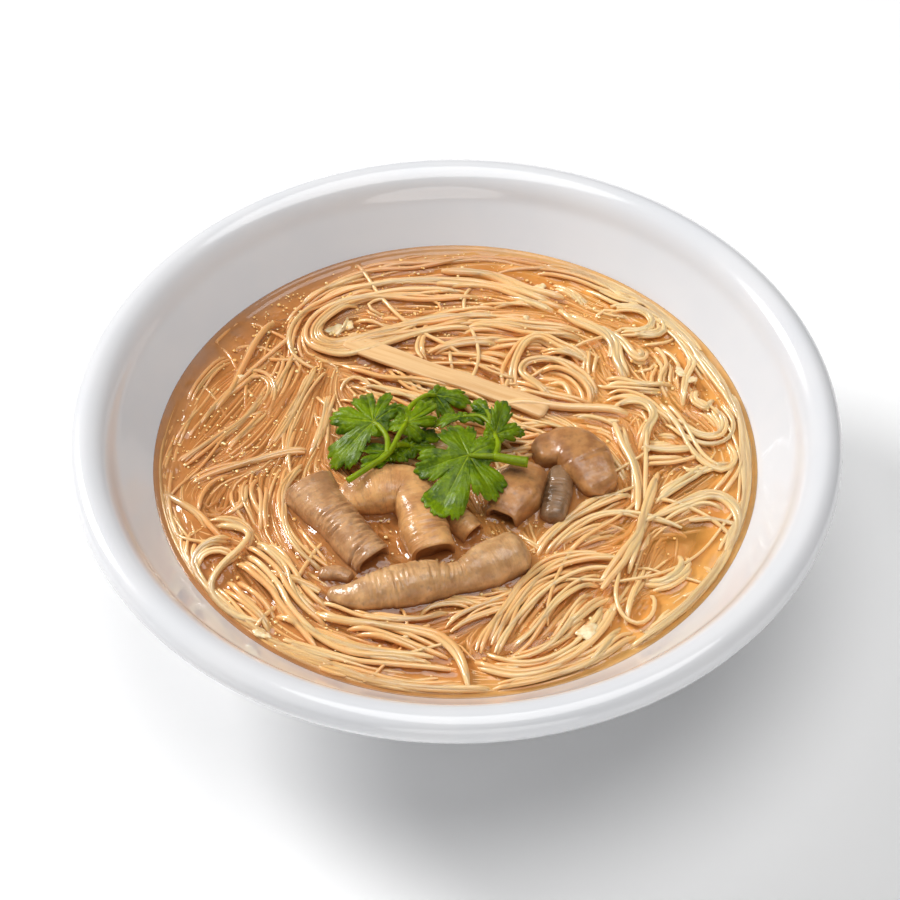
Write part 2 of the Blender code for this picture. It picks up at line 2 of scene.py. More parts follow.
# # Fine wheat noodles in broth
#
# A white bowl holds a loose heap of very fine noodles in amber broth, with pieces of braised
# intestine, a strip of bamboo shoot and two sprigs of coriander on top. The solids of the bowl and of
# everything in it are loaded first, as a fixed frame. Each one is then replaced by a finer piece in
# the same place. Sizes here are in millimetres, and MM turns them into metres.

# %% Load the frame
import math
import random

import bmesh
import bpy
import numpy as np
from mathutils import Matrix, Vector


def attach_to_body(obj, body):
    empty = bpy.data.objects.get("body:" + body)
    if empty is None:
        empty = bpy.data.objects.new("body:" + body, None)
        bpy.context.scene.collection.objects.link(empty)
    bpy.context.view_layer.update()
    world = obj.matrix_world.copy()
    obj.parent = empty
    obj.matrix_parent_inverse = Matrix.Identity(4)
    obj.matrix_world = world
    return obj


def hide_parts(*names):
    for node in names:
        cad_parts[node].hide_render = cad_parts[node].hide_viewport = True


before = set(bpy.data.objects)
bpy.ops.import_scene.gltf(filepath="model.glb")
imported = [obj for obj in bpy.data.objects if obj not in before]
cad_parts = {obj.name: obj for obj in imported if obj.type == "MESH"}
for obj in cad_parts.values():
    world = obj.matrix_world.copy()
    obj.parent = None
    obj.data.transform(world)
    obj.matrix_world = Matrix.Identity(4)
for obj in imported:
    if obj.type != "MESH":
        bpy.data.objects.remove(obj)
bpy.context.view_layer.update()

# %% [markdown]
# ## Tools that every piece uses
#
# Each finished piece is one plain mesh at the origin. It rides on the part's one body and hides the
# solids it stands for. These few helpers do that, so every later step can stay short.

MM = 0.001
BROTH_LEVEL = 44.0

# %% Showing, attaching and closing a mesh


def show(name, data):
    """An object at the origin that carries this mesh, lamp or camera."""
    shown = bpy.data.objects.new(name, data)
    bpy.context.scene.collection.objects.link(shown)
    return shown


def attach(piece, finish_slot, *nodes):
    """Every piece rides on the one body and stands for the solids it replaces. finish_slot is not used."""
    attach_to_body(piece, "root")
    if nodes:
        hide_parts(*nodes)
    print(f"{piece.name}: {len(piece.data.polygons)} faces")


def close_skin(mesh, merge=0.0):
    """Merges points that lie together, turns every face outwards and shades the mesh smooth."""
    bm = bmesh.new()
    bm.from_mesh(mesh)
    if merge:
        bmesh.ops.remove_doubles(bm, verts=bm.verts, dist=merge)
    bmesh.ops.recalc_face_normals(bm, faces=bm.faces)
    if bm.calc_volume(signed=True) < 0:
        bmesh.ops.reverse_faces(bm, faces=bm.faces)
    bm.to_mesh(mesh)
    bm.free()
    mesh.shade_smooth()


def frozen(piece):
    """The plain mesh that a piece's modifiers make. The piece and its modifiers are removed."""
    name, graph = piece.name, bpy.context.evaluated_depsgraph_get()
    made = bpy.data.meshes.new_from_object(piece.evaluated_get(graph))
    bpy.data.objects.remove(piece)
    made.name = name
    return made


def mesh_piece(name, points, faces, finish, **attributes):
    """A smooth-shaded mesh from points in millimetres, with its faces turned outwards."""
    mesh = bpy.data.meshes.new(name)
    mesh.from_pydata((np.asarray(points) * MM).tolist(), [], [tuple(face) for face in faces])
    for key, values in attributes.items():
        layer = mesh.attributes.new(key, "FLOAT", "POINT")
        layer.data.foreach_set("value", np.asarray(values, dtype=np.float32))
    mesh.materials.append(finish)
    close_skin(mesh)
    return show(name, mesh)


# %% A smooth route and a skin over rings


def route(places, step):
    """Evenly spaced points on the smooth curve that runs through the given places."""
    given = np.array(places, dtype=float)
    padded = np.vstack([2 * given[0] - given[1], given, 2 * given[-1] - given[-2]])
    t = np.linspace(0, 1, 24, endpoint=False)[:, None]
    spans = [
        0.5 * (2 * b + (c - a) * t + (2 * a - 5 * b + 4 * c - d) * t**2 + (3 * b - a - 3 * c + d) * t**3)
        for a, b, c, d in zip(padded, padded[1:], padded[2:], padded[3:])
    ]
    dense = np.vstack([*spans, given[-1:]])
    run = np.concatenate([[0], np.cumsum(np.linalg.norm(np.diff(dense, axis=0), axis=1))])
    at = np.linspace(0, run[-1], max(3, int(run[-1] / step) + 1))
    return np.column_stack([np.interp(at, run, column) for column in dense.T])


def loft(rings):
    """Points and faces of a closed skin over rings with the same number of points."""
    count, sides = rings.shape[:2]
    points = np.vstack([rings.reshape(-1, 3), rings[0].mean(0), rings[-1].mean(0)])
    index = np.arange(count * sides).reshape(count, sides)
    after = np.roll(index, -1, axis=1)
    skin = np.stack([index[:-1], after[:-1], after[1:], index[1:]], axis=-1).reshape(-1, 4)
    start = [(count * sides, b, a) for a, b in zip(index[0], after[0])]
    end = [(count * sides + 1, a, b) for a, b in zip(index[-1], after[-1])]
    return points, [*map(tuple, skin.tolist()), *start, *end]


# %% [markdown]
# ## Finishes from nodes
#
# Food looks wet and uneven. Each finish below is a Principled shader whose colour comes from noise at
# the right scale, and a clear coat gives the thin film of broth that lies over everything. A small
# helper adds nodes and links them, so that each finish reads as a short recipe.

# %% A helper for building finishes


class Finish:
    """A material under construction: adds nodes, links their sockets and ends in a Principled shader."""

    def __init__(self, name):
        self.material = bpy.data.materials.new(name)
        self.material.use_nodes = True
        self.tree = self.material.node_tree
        self.shader = self.tree.nodes["Principled BSDF"]
        self.place = self.add("TexCoord").outputs["Object"]

    def add(self, kind, inputs=None, **settings):
        node = self.tree.nodes.new("ShaderNode" + kind)
        for key, value in settings.items():
            setattr(node, key, value)
        self.fill(node, inputs or {})
        return node

    def fill(self, node, inputs):
        for key, value in inputs.items():
            if isinstance(value, bpy.types.NodeSocket):
                self.tree.links.new(value, node.inputs[key])
            else:
                node.inputs[key].default_value = value

    def noise(self, size, detail=3.0, stretch=None):
        """Noise whose lumps are about that many millimetres across."""
        place = self.place
        if stretch:
            place = self.add("Mapping", {"Vector": place, "Scale": stretch}).outputs[0]
        scale = 1.0 / (size * MM)
        return self.add("TexNoise", {"Vector": place, "Scale": scale, "Detail": detail}).outputs[0]

    def attribute(self, name):
        return self.add("Attribute", attribute_name=name).outputs["Fac"]

    def span(self, value, low, high, to_low=0.0, to_high=1.0):
        inputs = {0: value, 1: low, 2: high, 3: to_low, 4: to_high}
        return self.add("MapRange", inputs, interpolation_type="SMOOTHSTEP").outputs[0]

    def mix(self, share, one, two):
        node = self.add("Mix", {0: share, 6: one, 7: two}, data_type="RGBA")
        return node.outputs[2]

    def height(self):
        """Height above the table, in metres."""
        return self.add("SeparateXYZ", {0: self.place}).outputs["Z"]

    def bump(self, relief, distance, strength=1.0):
        inputs = {"Height": relief, "Distance": distance * MM, "Strength": strength}
        return self.add("Bump", inputs).outputs[0]

    def done(self, **inputs):
        named = {key.replace("_", " "): value for key, value in inputs.items()}
        self.fill(self.shader, named)
        return self.material


def tint(red, green, blue):
    """A colour from its 0 to 255 screen values."""
    linear = []
    for share in (red / 255, green / 255, blue / 255):
        linear.append(share / 12.92 if share < 0.0405 else ((share + 0.055) / 1.055) ** 2.4)
    return (*linear, 1.0)


# %% [markdown]
# ## The bowl
#
# A thick, slip-cast bowl with a broad rounded lip. A potter turns such a shape, so here one profile is
# turned round the axis with a Screw modifier, in steps fine enough that no facet shows on the lip.

# %% The bowl's sizes and its wall
WALL_CURVE = 2.4
WELL_HEIGHT = 10.5
MOUTH_RADIUS, MOUTH_HEIGHT = 93.0, 55.0
RIM_RADIUS, RIM_HEIGHT = 105.0, 61.2
WALL = 5.5
FOOT_RADIUS = 44.0


def wall_height(radius):
    return WELL_HEIGHT + (MOUTH_HEIGHT - WELL_HEIGHT) * (radius / MOUTH_RADIUS) ** WALL_CURVE


def wall_radius(height):
    return MOUTH_RADIUS * ((height - WELL_HEIGHT) / (MOUTH_HEIGHT - WELL_HEIGHT)) ** (1 / WALL_CURVE)


def off_wall(radius, distance):
    """The wall's point at that radius, moved square to the wall and away from the inside."""
    nudge = 0.01
    slope = (wall_height(radius + nudge) - wall_height(radius)) / nudge
    length = math.hypot(1, slope)
    return radius + distance * slope / length, wall_height(radius) - distance / length


print("broth meets the wall at radius", round(wall_radius(BROTH_LEVEL), 2), "mm")

# %% The whole profile, from the middle of the inside to the middle of the underside


def bowl_profile():
    inside = [(r, wall_height(r)) for r in np.linspace(0.01, MOUTH_RADIUS - 3, 34)]
    lip = [
        (MOUTH_RADIUS - 0.5, MOUTH_HEIGHT - 0.6),
        (MOUTH_RADIUS + 1.4, RIM_HEIGHT - 3.8),
        (MOUTH_RADIUS + 3.3, RIM_HEIGHT - 1.7),
        (MOUTH_RADIUS + 5.7, RIM_HEIGHT - 0.4),
        (MOUTH_RADIUS + 8.2, RIM_HEIGHT - 0.05),
        (RIM_RADIUS - 1.2, RIM_HEIGHT - 1.3),
        (RIM_RADIUS - 0.15, RIM_HEIGHT - 3.2),
        (RIM_RADIUS - 0.05, RIM_HEIGHT - 5.2),
        (RIM_RADIUS - 1.3, RIM_HEIGHT - 7.6),
        (RIM_RADIUS - 3.4, RIM_HEIGHT - 9.2),
        (RIM_RADIUS - 6.6, RIM_HEIGHT - 11.4),
    ]
    outside = [off_wall(r, WALL) for r in np.linspace(88, 50, 12)]
    foot = [
        (FOOT_RADIUS + 1.6, off_wall(FOOT_RADIUS, WALL)[1] - 0.3),
        (FOOT_RADIUS + 0.3, 4.0),
        (FOOT_RADIUS, 1.0),
        (FOOT_RADIUS - 1.0, 0.0),
        (FOOT_RADIUS - 4.0, 0.0),
        (FOOT_RADIUS - 5.0, 1.0),
        (FOOT_RADIUS - 6.2, 5.2),
        (FOOT_RADIUS - 9.0, 5.5),
    ]
    curve = route([*inside[-2:], *lip, *outside, *foot[:1]], 0.9)
    return [*inside[:-2], *curve, *foot[1:], (0.01, 5.5)]


# %% Turning the profile
TURN_STEPS = 168
SEAM = 3e-5  # metres: the two ends of the turn, and the points on the axis, are merged within this


def turned(name, profile, finish):
    mesh = bpy.data.meshes.new(name)
    points = [(radius * MM, 0.0, height * MM) for radius, height in profile]
    mesh.from_pydata(points, [(k, k + 1) for k in range(len(points) - 1)], [])
    line = show(name, mesh)
    turn = line.modifiers.new("turn", "SCREW")
    turn.steps = turn.render_steps = TURN_STEPS
    turn.use_merge_vertices = True
    turn.merge_threshold = SEAM
    made = frozen(line)
    close_skin(made, SEAM)
    made.materials.clear()
    made.materials.append(finish)
    return show(name, made)


# %% [markdown]
# ## The glaze
#
# Hotel china has a hard white glaze, a little uneven from the dip. Real glaze is a glass over a white
# body, so the shader is nearly white with a clear coat, and a shallow bump makes the reflections waver.

# %% The glaze


def china_glaze():
    glaze = Finish("china_glaze")
    body = glaze.mix(glaze.span(glaze.noise(26), 0.35, 0.65), tint(225, 226, 229), tint(229, 229, 231))
    ripple = glaze.bump(glaze.noise(7, detail=1.0), 0.05, 0.35)
    return glaze.done(Base_Color=body, Roughness=0.16, Normal=ripple, Coat_Weight=0.6, Coat_Roughness=0.04)


bowl = turned("china_bowl", bowl_profile(), china_glaze())
attach(bowl, "china", "bowl")

# %% [markdown]
# ## How the noodles lie
#
# A heap like this is very many long strands that were lifted and dropped in bundles: they run
# side by side for a while, sweep round in hairpins and cross over one another. Each guide below is the
# middle of one bundle, read off the heap in plan. Strands are drawn round it with a little sideways
# drift, and then laid one after another on a height map: a strand rests on whatever is already there,
# spans small hollows because it is springy, and then raises the map for the next one.

# %% Guides: level, width of the bundle, strands in it, their thickness, then the places it runs through
GUIDES = (
    # back left: the long hairpin, its lower arm, and the loops inside it
    (2, 3.4, 6, 1.4, (8, 66), (-10, 66), (-21, 65), (-31, 62.5), (-38, 57.5), (-43, 51.5), (-45, 45),
     (-44, 38.5), (-40.5, 34.5), (-36.5, 33)),
    (3, 3.2, 5, 1.4, (10, 63), (-8, 63), (-22, 62), (-32, 59), (-38.5, 54), (-42, 48), (-41.8, 42.5),
     (-38, 39), (-31, 37.5), (-22, 40.5), (-12, 45), (0, 49), (14, 50.5)),
    (3, 3.0, 5, 1.5, (-24, 61), (-32, 57.5), (-37.5, 52), (-40, 47), (-38.8, 42.8), (-34, 41),
     (-26, 43.4), (-17, 47), (-8, 51), (4, 53), (18, 53)),
    (1, 4.5, 7, 1.3, (20, 67), (6, 70), (-8, 68.5), (-22, 67.5), (-33, 64)),
    (2, 2.5, 3, 1.1, (2, 61), (-8, 60.8), (-17, 60.5), (-23, 58.5), (-24, 56), (-19, 54.5)),
    (2, 1.5, 2, 1.0, (-18, 60), (-10, 60.5), (-5, 59), (-3.8, 56), (-6.5, 53)),
    (2, 1.2, 2, 0.9, (-19, 59.5), (-14, 58), (-10.5, 54)),
    (2, 2.0, 2, 1.7, (-37, 51.5), (-33, 55), (-28, 57)),
    (1, 5.0, 7, 1.3, (-30, 52), (-18, 50), (-6, 49), (6, 47), (20, 46)),
    (1, 5.0, 7, 1.2, (-26, 39), (-14, 39), (-2, 38), (10, 36), (22, 31)),
    (3, 0.8, 1, 1.4, (-40, 37.5), (-33.5, 35.8), (-28, 32.6), (-20, 28.8), (-10, 26.3), (0, 23.5)),
    # the loop left of the middle, and short bright pieces by the strip
    (2, 1.6, 3, 1.6, (16, 56), (5, 55.6), (-3, 54), (-7.8, 49.5), (-9.4, 43.5), (-9.4, 38.5),
     (-7.2, 34.5)),
    (2, 2.2, 3, 1.4, (14, 43), (4, 42.5), (-3, 40.5), (-7.5, 38)),
    (2, 0.8, 1, 1.9, (1.5, 39.5), (4.2, 36.5), (5.6, 33), (6.4, 29.5)),
    (2, 0.8, 1, 1.7, (-4.2, 37), (-3.4, 33)),
    # the back: nearly level strands
    (2, 2.2, 3, 2.1, (-4, 71), (8, 70), (15, 66.8), (21, 63.2), (28, 61.3), (33, 60)),
    (2, 2.4, 3, 1.9, (-6, 67.5), (8, 66), (17, 62.5), (24, 59), (31, 56)),
    (1, 4.0, 6, 1.4, (0, 58), (12, 55), (24, 55.5), (33, 55)),
    (1, 4.0, 6, 1.4, (-4, 54), (10, 52), (24, 51.5), (36, 49)),
    (2, 3.6, 6, 1.4, (-2, 49), (12, 49.5), (24, 47), (38, 46)),
    (1, 4.0, 6, 1.4, (-2, 46), (12, 43.5), (26, 44), (38, 43)),
    (1, 4.0, 6, 1.3, (0, 40), (12, 38), (22, 35)),
    (2, 0.8, 1, 1.8, (14, 65), (12, 60.5), (10.5, 57)),
    (0, 5.0, 7, 1.3, (-52, 47), (-38, 62), (-20, 71), (2, 75), (22, 73), (38, 66), (50, 57)),
    (1, 3.0, 4, 1.4, (26, 70), (31, 66), (36, 61), (40, 57)),
    # the hairpin right of the middle
    (2, 2.4, 4, 1.6, (16.5, 22.5), (15.6, 31), (17.4, 38), (20.8, 43), (24.5, 44), (29.5, 40.5),
     (36, 36.5), (39, 32)),
    (2, 1.8, 3, 1.7, (29, 18), (24.5, 23), (19.6, 27.4), (17.8, 31), (19.6, 34.6), (24, 35.4),
     (30, 34), (35.5, 30), (38.8, 25), (40, 19)),
    (2, 1.6, 3, 1.5, (22, 32), (28, 32), (33.5, 29), (36.8, 24.5), (37.6, 19)),
    (2, 1.2, 2, 1.8, (21.5, 30), (26, 28.4), (30.6, 27.6), (32.6, 24), (33.2, 19)),
    (1, 5.0, 7, 1.3, (12, 30), (22, 24), (32, 22), (42, 20)),
    (2, 3.4, 5, 1.4, (24, 42), (32, 38.5), (39, 35)),
    (1, 3.0, 4, 1.3, (40, 46), (40.5, 38), (39.4, 31), (41, 26)),
    # the cascade that hooks back, and the rings behind it
    (2, 2.2, 4, 1.7, (30, 57), (34, 51.5), (39, 48), (43, 44.5), (44.5, 39.5), (43.5, 35)),
    (2, 2.4, 4, 1.8, (38, 49.5), (43.5, 47), (46.5, 42), (46.8, 35), (48.6, 28)),
    (2, 1.6, 3, 1.4, (44, 47), (47.5, 41.5), (50, 36.4), (53, 34.8), (54.6, 37.6), (52.8, 41),
     (50, 42.4)),
    (2, 3.0, 5, 1.2, (50, 46.6), (55, 45.4), (59, 46.6), (59, 51), (55.5, 54.6), (50, 56)),
    (2, 2.4, 4, 1.2, (46, 47.4), (52, 47), (56, 49.4), (54.6, 53.4), (50, 55.2), (45, 55)),
    (1, 2.4, 4, 1.2, (41.6, 50), (43, 54), (47.5, 53.6), (51, 50.5), (53, 46)),
    (1, 3.0, 4, 1.3, (56, 56), (62, 49), (67, 41), (70, 33), (75, 25)),
    (1, 2.0, 3, 1.6, (64, 41), (61, 37), (57.5, 34)),
    (2, 3.0, 5, 1.3, (26, 76), (40, 70), (52, 61), (62, 51), (70, 38), (76, 25), (80, 12)),
    (2, 3.0, 5, 1.3, (22, 72), (36, 68), (48, 60), (56, 56), (66, 46), (71, 36)),
    (2, 3.0, 5, 1.3, (80, 22), (81, 8), (80.4, -6), (78, -20), (72, -36)),
    (2, 2.0, 3, 1.2, (49.5, 36), (49.4, 32), (52, 30.4), (54.4, 33)),
    (2, 2.4, 4, 1.4, (40.5, 31), (41.6, 27.4), (47, 26), (54, 24.4), (62, 26)),
    (1, 3.4, 5, 1.3, (56, 42), (60, 34), (59, 27), (63, 20)),
    (2, 1.6, 2, 1.4, (66.5, 39), (67.4, 34), (65.4, 28), (63.8, 18)),
    (2, 1.4, 2, 1.5, (67, 25), (66, 19), (70, 15.5), (73, 20)),
    # the thick pale strand, and what runs beside it
    (3, 0.8, 1, 2.3, (11, 15.4), (17.5, 17.4), (24, 17.8), (32, 17.2), (41, 16.2), (48, 14.4),
     (54, 11.5)),
    (2, 2.6, 4, 1.4, (41, 22), (47, 22.4), (53, 19.6), (58, 14.5), (63, 9)),
    (2, 1.8, 3, 1.4, (44, 16.8), (48.6, 18.8), (53, 18), (55, 13.6), (53, 8.5), (51.6, 0)),
    (1, 4.0, 6, 1.3, (26, 14), (36, 13), (45, 9), (49, 2)),
    (1, 3.0, 5, 1.3, (66, 20), (72, 14), (76, 6), (78, -4), (76, -12)),
    # right: the long hook, the level strands under it, the edge
    (2, 1.8, 3, 1.5, (58, 18), (62.5, 10.5), (66, 2), (69.4, -3), (73.4, -5), (76, -1.5), (74.6, 3)),
    (2, 2.6, 4, 1.4, (60, 12), (65, 6.4), (70, 4.4), (74.4, 6), (76, 11), (73.6, 17)),
    (2, 3.0, 5, 1.5, (53, 7), (60, 5.5), (66, 3.4)),
    (2, 3.2, 5, 1.5, (51.5, 2), (58, 1), (65, 1.6)),
    (2, 1.4, 2, 1.7, (52, -2.6), (60, -2.2), (68, 0)),
    (2, 1.4, 2, 1.5, (63.4, -4), (65.6, -6.2), (70, -5), (76, -1)),
    (1, 3.4, 5, 1.4, (80, 12), (80.4, 0), (79.6, -12), (77.6, -24), (73, -36)),
    (1, 3.0, 5, 1.4, (78, 8), (77.4, -3), (73.4, -11), (69, -16)),
    # the straight bundle that runs down to the lower right, and its twin from above
    (2, 2.6, 5, 1.9, (55.4, -6), (53.4, -14), (51.2, -22), (49.2, -30), (46, -36.5), (42.4, -43),
     (39, -49)),
    (2, 2.0, 3, 1.7, (45.6, 12), (47.2, 3), (49, -4), (49.6, -14), (48.6, -24)),
    (2, 1.4, 2, 1.6, (52.4, 9), (51, 0), (50.2, -10), (50.4, -22), (48.8, -33), (45, -42)),
    (1, 3.0, 5, 1.5, (50, -34), (49, -42), (46.4, -49), (44, -56), (42, -64)),
    (1, 3.0, 4, 1.4, (37, 8), (41, 0), (45, -7), (48, -13)),
    (1, 2.6, 4, 1.3, (22, 3), (27, 5), (33, 8), (39, 4), (43, -3)),
    # from the straight bundle to the lower left, over and under it
    (2, 3.0, 5, 1.4, (52, -11), (44, -15), (37, -19.4), (30, -25), (24.4, -31.5), (20, -38.5)),
    (2, 1.2, 2, 1.3, (62.5, -26.8), (55, -24.2), (48, -22.6), (40.4, -22.8), (34, -25.6), (28, -31),
     (23, -37)),
    (1, 4.0, 6, 1.3, (46, -26), (38, -28), (30, -33), (24, -39)),
    (1, 2.4, 3, 1.1, (32, -36), (34, -32), (38, -34)),
    # the hairpin round the open broth at the right, and short pieces in it
    (2, 1.8, 3, 1.8, (50, -24), (56, -20), (62.4, -16.8), (69, -14.6), (74.4, -17), (77.4, -23),
     (77.2, -29), (74, -34.5)),
    (2, 2.0, 3, 1.5, (56, -24), (62, -20), (68, -17.6), (73.5, -20), (75, -26)),
    (2, 1.4, 2, 1.3, (63, -23.4), (69, -22.6), (76, -25)),
    (2, 3.0, 4, 1.4, (52.4, -18), (58, -13.4), (65, -8), (70, -2.6)),
    (2, 2.0, 2, 1.8, (52.8, -17), (55, -10), (57, -4)),
    (1, 1.2, 1, 1.4, (62, -34.6), (67.6, -32.6), (72.4, -30.6)),
    (2, 2.6, 4, 1.7, (49.5, -43.8), (54, -45.4), (58.4, -43), (61, -38.6), (60.6, -35)),
    (2, 1.6, 2, 1.4, (50, -48), (56.4, -48), (61.6, -44), (63.6, -38.6)),
    (1, 1.2, 2, 1.3, (61.6, -35.6), (66.6, -38.6), (69, -43), (67, -48), (61.4, -49.8), (53, -49.6)),
    (2, 0.8, 1, 1.3, (43.6, -43), (42.4, -50), (43.8, -56.6), (47.6, -59.4), (51, -56.8),
     (52.2, -52.4), (51.2, -49), (49.4, -49.6)),
    (1, 2.6, 4, 1.3, (75, -30), (70, -42), (61, -54), (52, -62), (44, -68)),
    (1, 3.0, 5, 1.3, (60, -50), (54, -57), (49, -64)),
    (1, 2.0, 3, 1.3, (58, -64), (50, -63), (44, -61)),
    # lower right: strands that fan out to the lower left and come back along the wall
    (2, 3.4, 6, 1.5, (44, -38), (36, -37), (28.6, -38.4), (22.6, -42), (17.4, -48), (13, -56),
     (9.4, -64), (7.6, -69)),
    (2, 3.4, 6, 1.5, (42, -41), (35, -40.6), (28, -43.6), (22, -49), (17, -56), (13, -63), (10.4, -69)),
    (2, 3.6, 6, 1.4, (40, -45), (33.6, -47.4), (28, -53), (23, -60), (17, -66), (10, -70)),
    (1, 6.0, 9, 1.4, (46, -45), (38, -53), (32, -60), (24, -67)),
    (2, 3.6, 6, 1.5, (4, -68), (9.4, -73), (17, -74.6), (25, -72), (32, -66), (37.6, -58), (41, -50)),
    (2, 3.2, 5, 1.4, (8, -68.4), (14, -71), (21, -69.6), (28, -65), (34.6, -57)),
    (1, 3.6, 6, 1.4, (8, -78.4), (18, -78), (28, -74.4), (36, -69.6), (43, -62.6), (50, -58)),
    (2, 1.2, 2, 1.7, (43, -61), (39.6, -66), (36, -71), (34, -75)),
    (1, 3.0, 5, 1.3, (2, -52), (10, -52), (18, -49), (25, -45)),
    (2, 3.0, 4, 1.3, (-2, -61), (3, -57), (9, -53.6), (16, -50)),
    # front: long straight strands, the pale one that hangs to the wall, hooks
    (3, 1.2, 2, 2.0, (-38, -51), (-35.6, -55.6), (-30, -58.4), (-20, -60), (-11, -61.2), (-5.4, -63),
     (-1.4, -66.6), (1, -71), (2.6, -77), (3.2, -82)),
    (2, 2.0, 3, 1.7, (-44, -58), (-37, -63.4), (-28, -68), (-18, -71.4), (-8, -73.6)),
    (2, 2.4, 4, 1.7, (-46, -55), (-39, -60.6), (-30, -65.4), (-20, -68.8), (-6, -71.6)),
    (2, 3.0, 5, 1.5, (-30, -61), (-20, -63), (-10, -66), (0, -70)),
    (1, 4.4, 7, 1.4, (-50, -64), (-40, -69), (-28, -73), (-14, -76), (2, -76)),
    (2, 0.8, 1, 1.7, (-6.6, -60), (-13, -64.2), (-19.4, -68)),
    (2, 1.6, 3, 1.3, (-36, -50.4), (-30, -53.4), (-23, -57.4), (-14, -59)),
    (2, 1.6, 3, 1.3, (-26, -55), (-18, -57.6), (-9, -58), (-2, -55)),
    (2, 1.2, 2, 1.2, (-11, -56.6), (-6, -53.4), (0, -52.8), (6, -54.6)),
    (2, 0.6, 1, 1.4, (-29.6, -72.6), (-33.6, -73), (-36, -75.8), (-34.2, -78.4), (-29.6, -79.4)),
    (2, 0.6, 1, 1.2, (-11, -75), (-7.4, -75.6), (-7, -78.8), (-10.6, -80)),
    (0, 4.0, 6, 1.3, (-62, -51), (-46, -66), (-26, -76), (-6, -80), (14, -80)),
    # lower left: the bright bundle, its crossing hairpin and the ring beside it
    (2, 3.4, 6, 1.7, (-54, -31.4), (-49.4, -35.6), (-45, -41), (-42.4, -47.6), (-38.4, -53.6),
     (-32, -58)),
    (2, 3.4, 6, 1.7, (-56.4, -35.4), (-52.6, -41.6), (-48, -48), (-45, -54), (-40.6, -60),
     (-35.4, -66)),
    (2, 3.0, 5, 1.5, (-60, -44.6), (-56, -50.6), (-51.6, -55.4), (-47.6, -60.4)),
    (2, 1.4, 2, 1.8, (-49.6, -41.4), (-42.6, -45), (-35.6, -48.4)),
    (2, 1.4, 2, 1.9, (-69, -23.8), (-61, -25.8), (-56.2, -27.4), (-54.6, -30.6), (-57, -35.4),
     (-61.4, -40.4), (-64.6, -46), (-64.6, -52), (-60, -56.4), (-50, -58.8)),
    (2, 2.6, 4, 1.3, (-68.4, -23), (-61.6, -23.2), (-56, -26), (-52, -31)),
    (2, 1.6, 3, 1.5, (-60.6, -30.4), (-66.4, -32.8), (-69.8, -37.6), (-69.4, -43.4), (-65.6, -50),
     (-60, -55)),
    (2, 1.4, 2, 1.2, (-58, -37), (-62, -35.4), (-66.6, -36.4), (-68.4, -40)),
    (1, 4.4, 7, 1.3, (-70, -42), (-62, -52), (-52, -60), (-42, -66)),
    (1, 3.0, 5, 1.3, (-72, -26), (-72.6, -36), (-68, -46)),
    (2, 1.0, 2, 1.6, (-80, -12), (-75, -17), (-70, -21.6), (-66.4, -26.4), (-61.4, -31)),
    (1, 2.0, 3, 1.2, (-79.6, -18), (-75, -22), (-71, -27)),
    # left: the crossing strand and the ring under it
    (3, 1.0, 2, 1.8, (-36.6, 1.4), (-45, 1.3), (-53, -0.8), (-61, -3.6), (-68, -6.8), (-73, -10.6),
     (-75.4, -16)),
    (2, 2.4, 4, 1.3, (-48, -1.4), (-58, -2.6), (-67, -5), (-74, -9)),
    (2, 2.0, 3, 1.3, (-56.6, -7.4), (-62, -7), (-66.6, -9.4), (-69.4, -14.6), (-70, -20.4)),
    (2, 1.4, 2, 1.3, (-55.6, -4.6), (-57.8, -10.6), (-57.6, -17), (-61, -20.4), (-66, -19.2)),
    (2, 2.4, 4, 1.3, (-51.4, -4), (-55.6, -8.4), (-56.6, -14.6), (-54, -22), (-50.6, -29)),
    (2, 2.6, 4, 1.3, (-54.4, -6.4), (-52, -13), (-51, -20.4), (-50, -28.6)),
    (1, 3.0, 5, 1.2, (-44, 2), (-47.6, -6), (-49.4, -16), (-48.4, -27)),
    (2, 2.2, 4, 1.4, (-39.4, 2), (-43.6, -4), (-47.4, -12), (-47.4, -20.6), (-45.4, -28),
     (-40.6, -35.4), (-34, -41), (-27, -44.4)),
    (2, 1.6, 2, 1.4, (-43.4, -26.4), (-39, -33.6), (-33.6, -39.6)),
    (1, 5.0, 7, 1.2, (-46, -24), (-42, -34), (-36, -43), (-27, -51)),
    (0, 4.0, 6, 1.2, (-74, 20), (-79, 6), (-80.4, -10), (-76, -28), (-68, -42)),
    # the left field: a fan from the hairpin down to the left wall
    (2, 2.4, 4, 1.4, (-34.6, 24), (-36.4, 14), (-38.6, 6), (-41, 0)),
    (2, 3.4, 6, 1.3, (-38, 34), (-42, 24), (-44.6, 13), (-46.4, 4), (-46.8, -8)),
    (2, 3.4, 6, 1.3, (-42, 33), (-46.4, 22), (-50, 11), (-53.4, 3)),
    (2, 3.6, 6, 1.3, (-46.6, 40), (-48.4, 31), (-53, 19), (-59.4, 9), (-66, 1.6)),
    (1, 6.0, 9, 1.2, (-40, 28), (-48, 14), (-56, 4), (-66, -4)),
    (2, 3.6, 6, 1.3, (-52, 25), (-58, 15), (-65, 8), (-72, 0), (-77, -5)),
    (2, 2.4, 4, 1.2, (-59, 30.6), (-54.6, 30.4), (-51.6, 27), (-51.8, 21.6), (-55, 14)),
    (2, 1.0, 2, 1.9, (-47.4, 53), (-52, 50), (-55.6, 44.4), (-58.6, 38), (-61.4, 31), (-63.6, 24),
     (-67.6, 16)),
    (2, 1.0, 2, 1.9, (-46.6, 45.4), (-50.6, 40.6), (-55, 35), (-60, 28), (-66, 20), (-72.6, 9)),
    (1, 3.0, 5, 1.3, (-59.4, 40), (-65, 36.4), (-69.6, 31), (-73.6, 24), (-76.4, 15)),
    (1, 3.4, 5, 1.3, (-60, 34), (-66.4, 29), (-71.4, 20), (-75.6, 10), (-78, 0)),
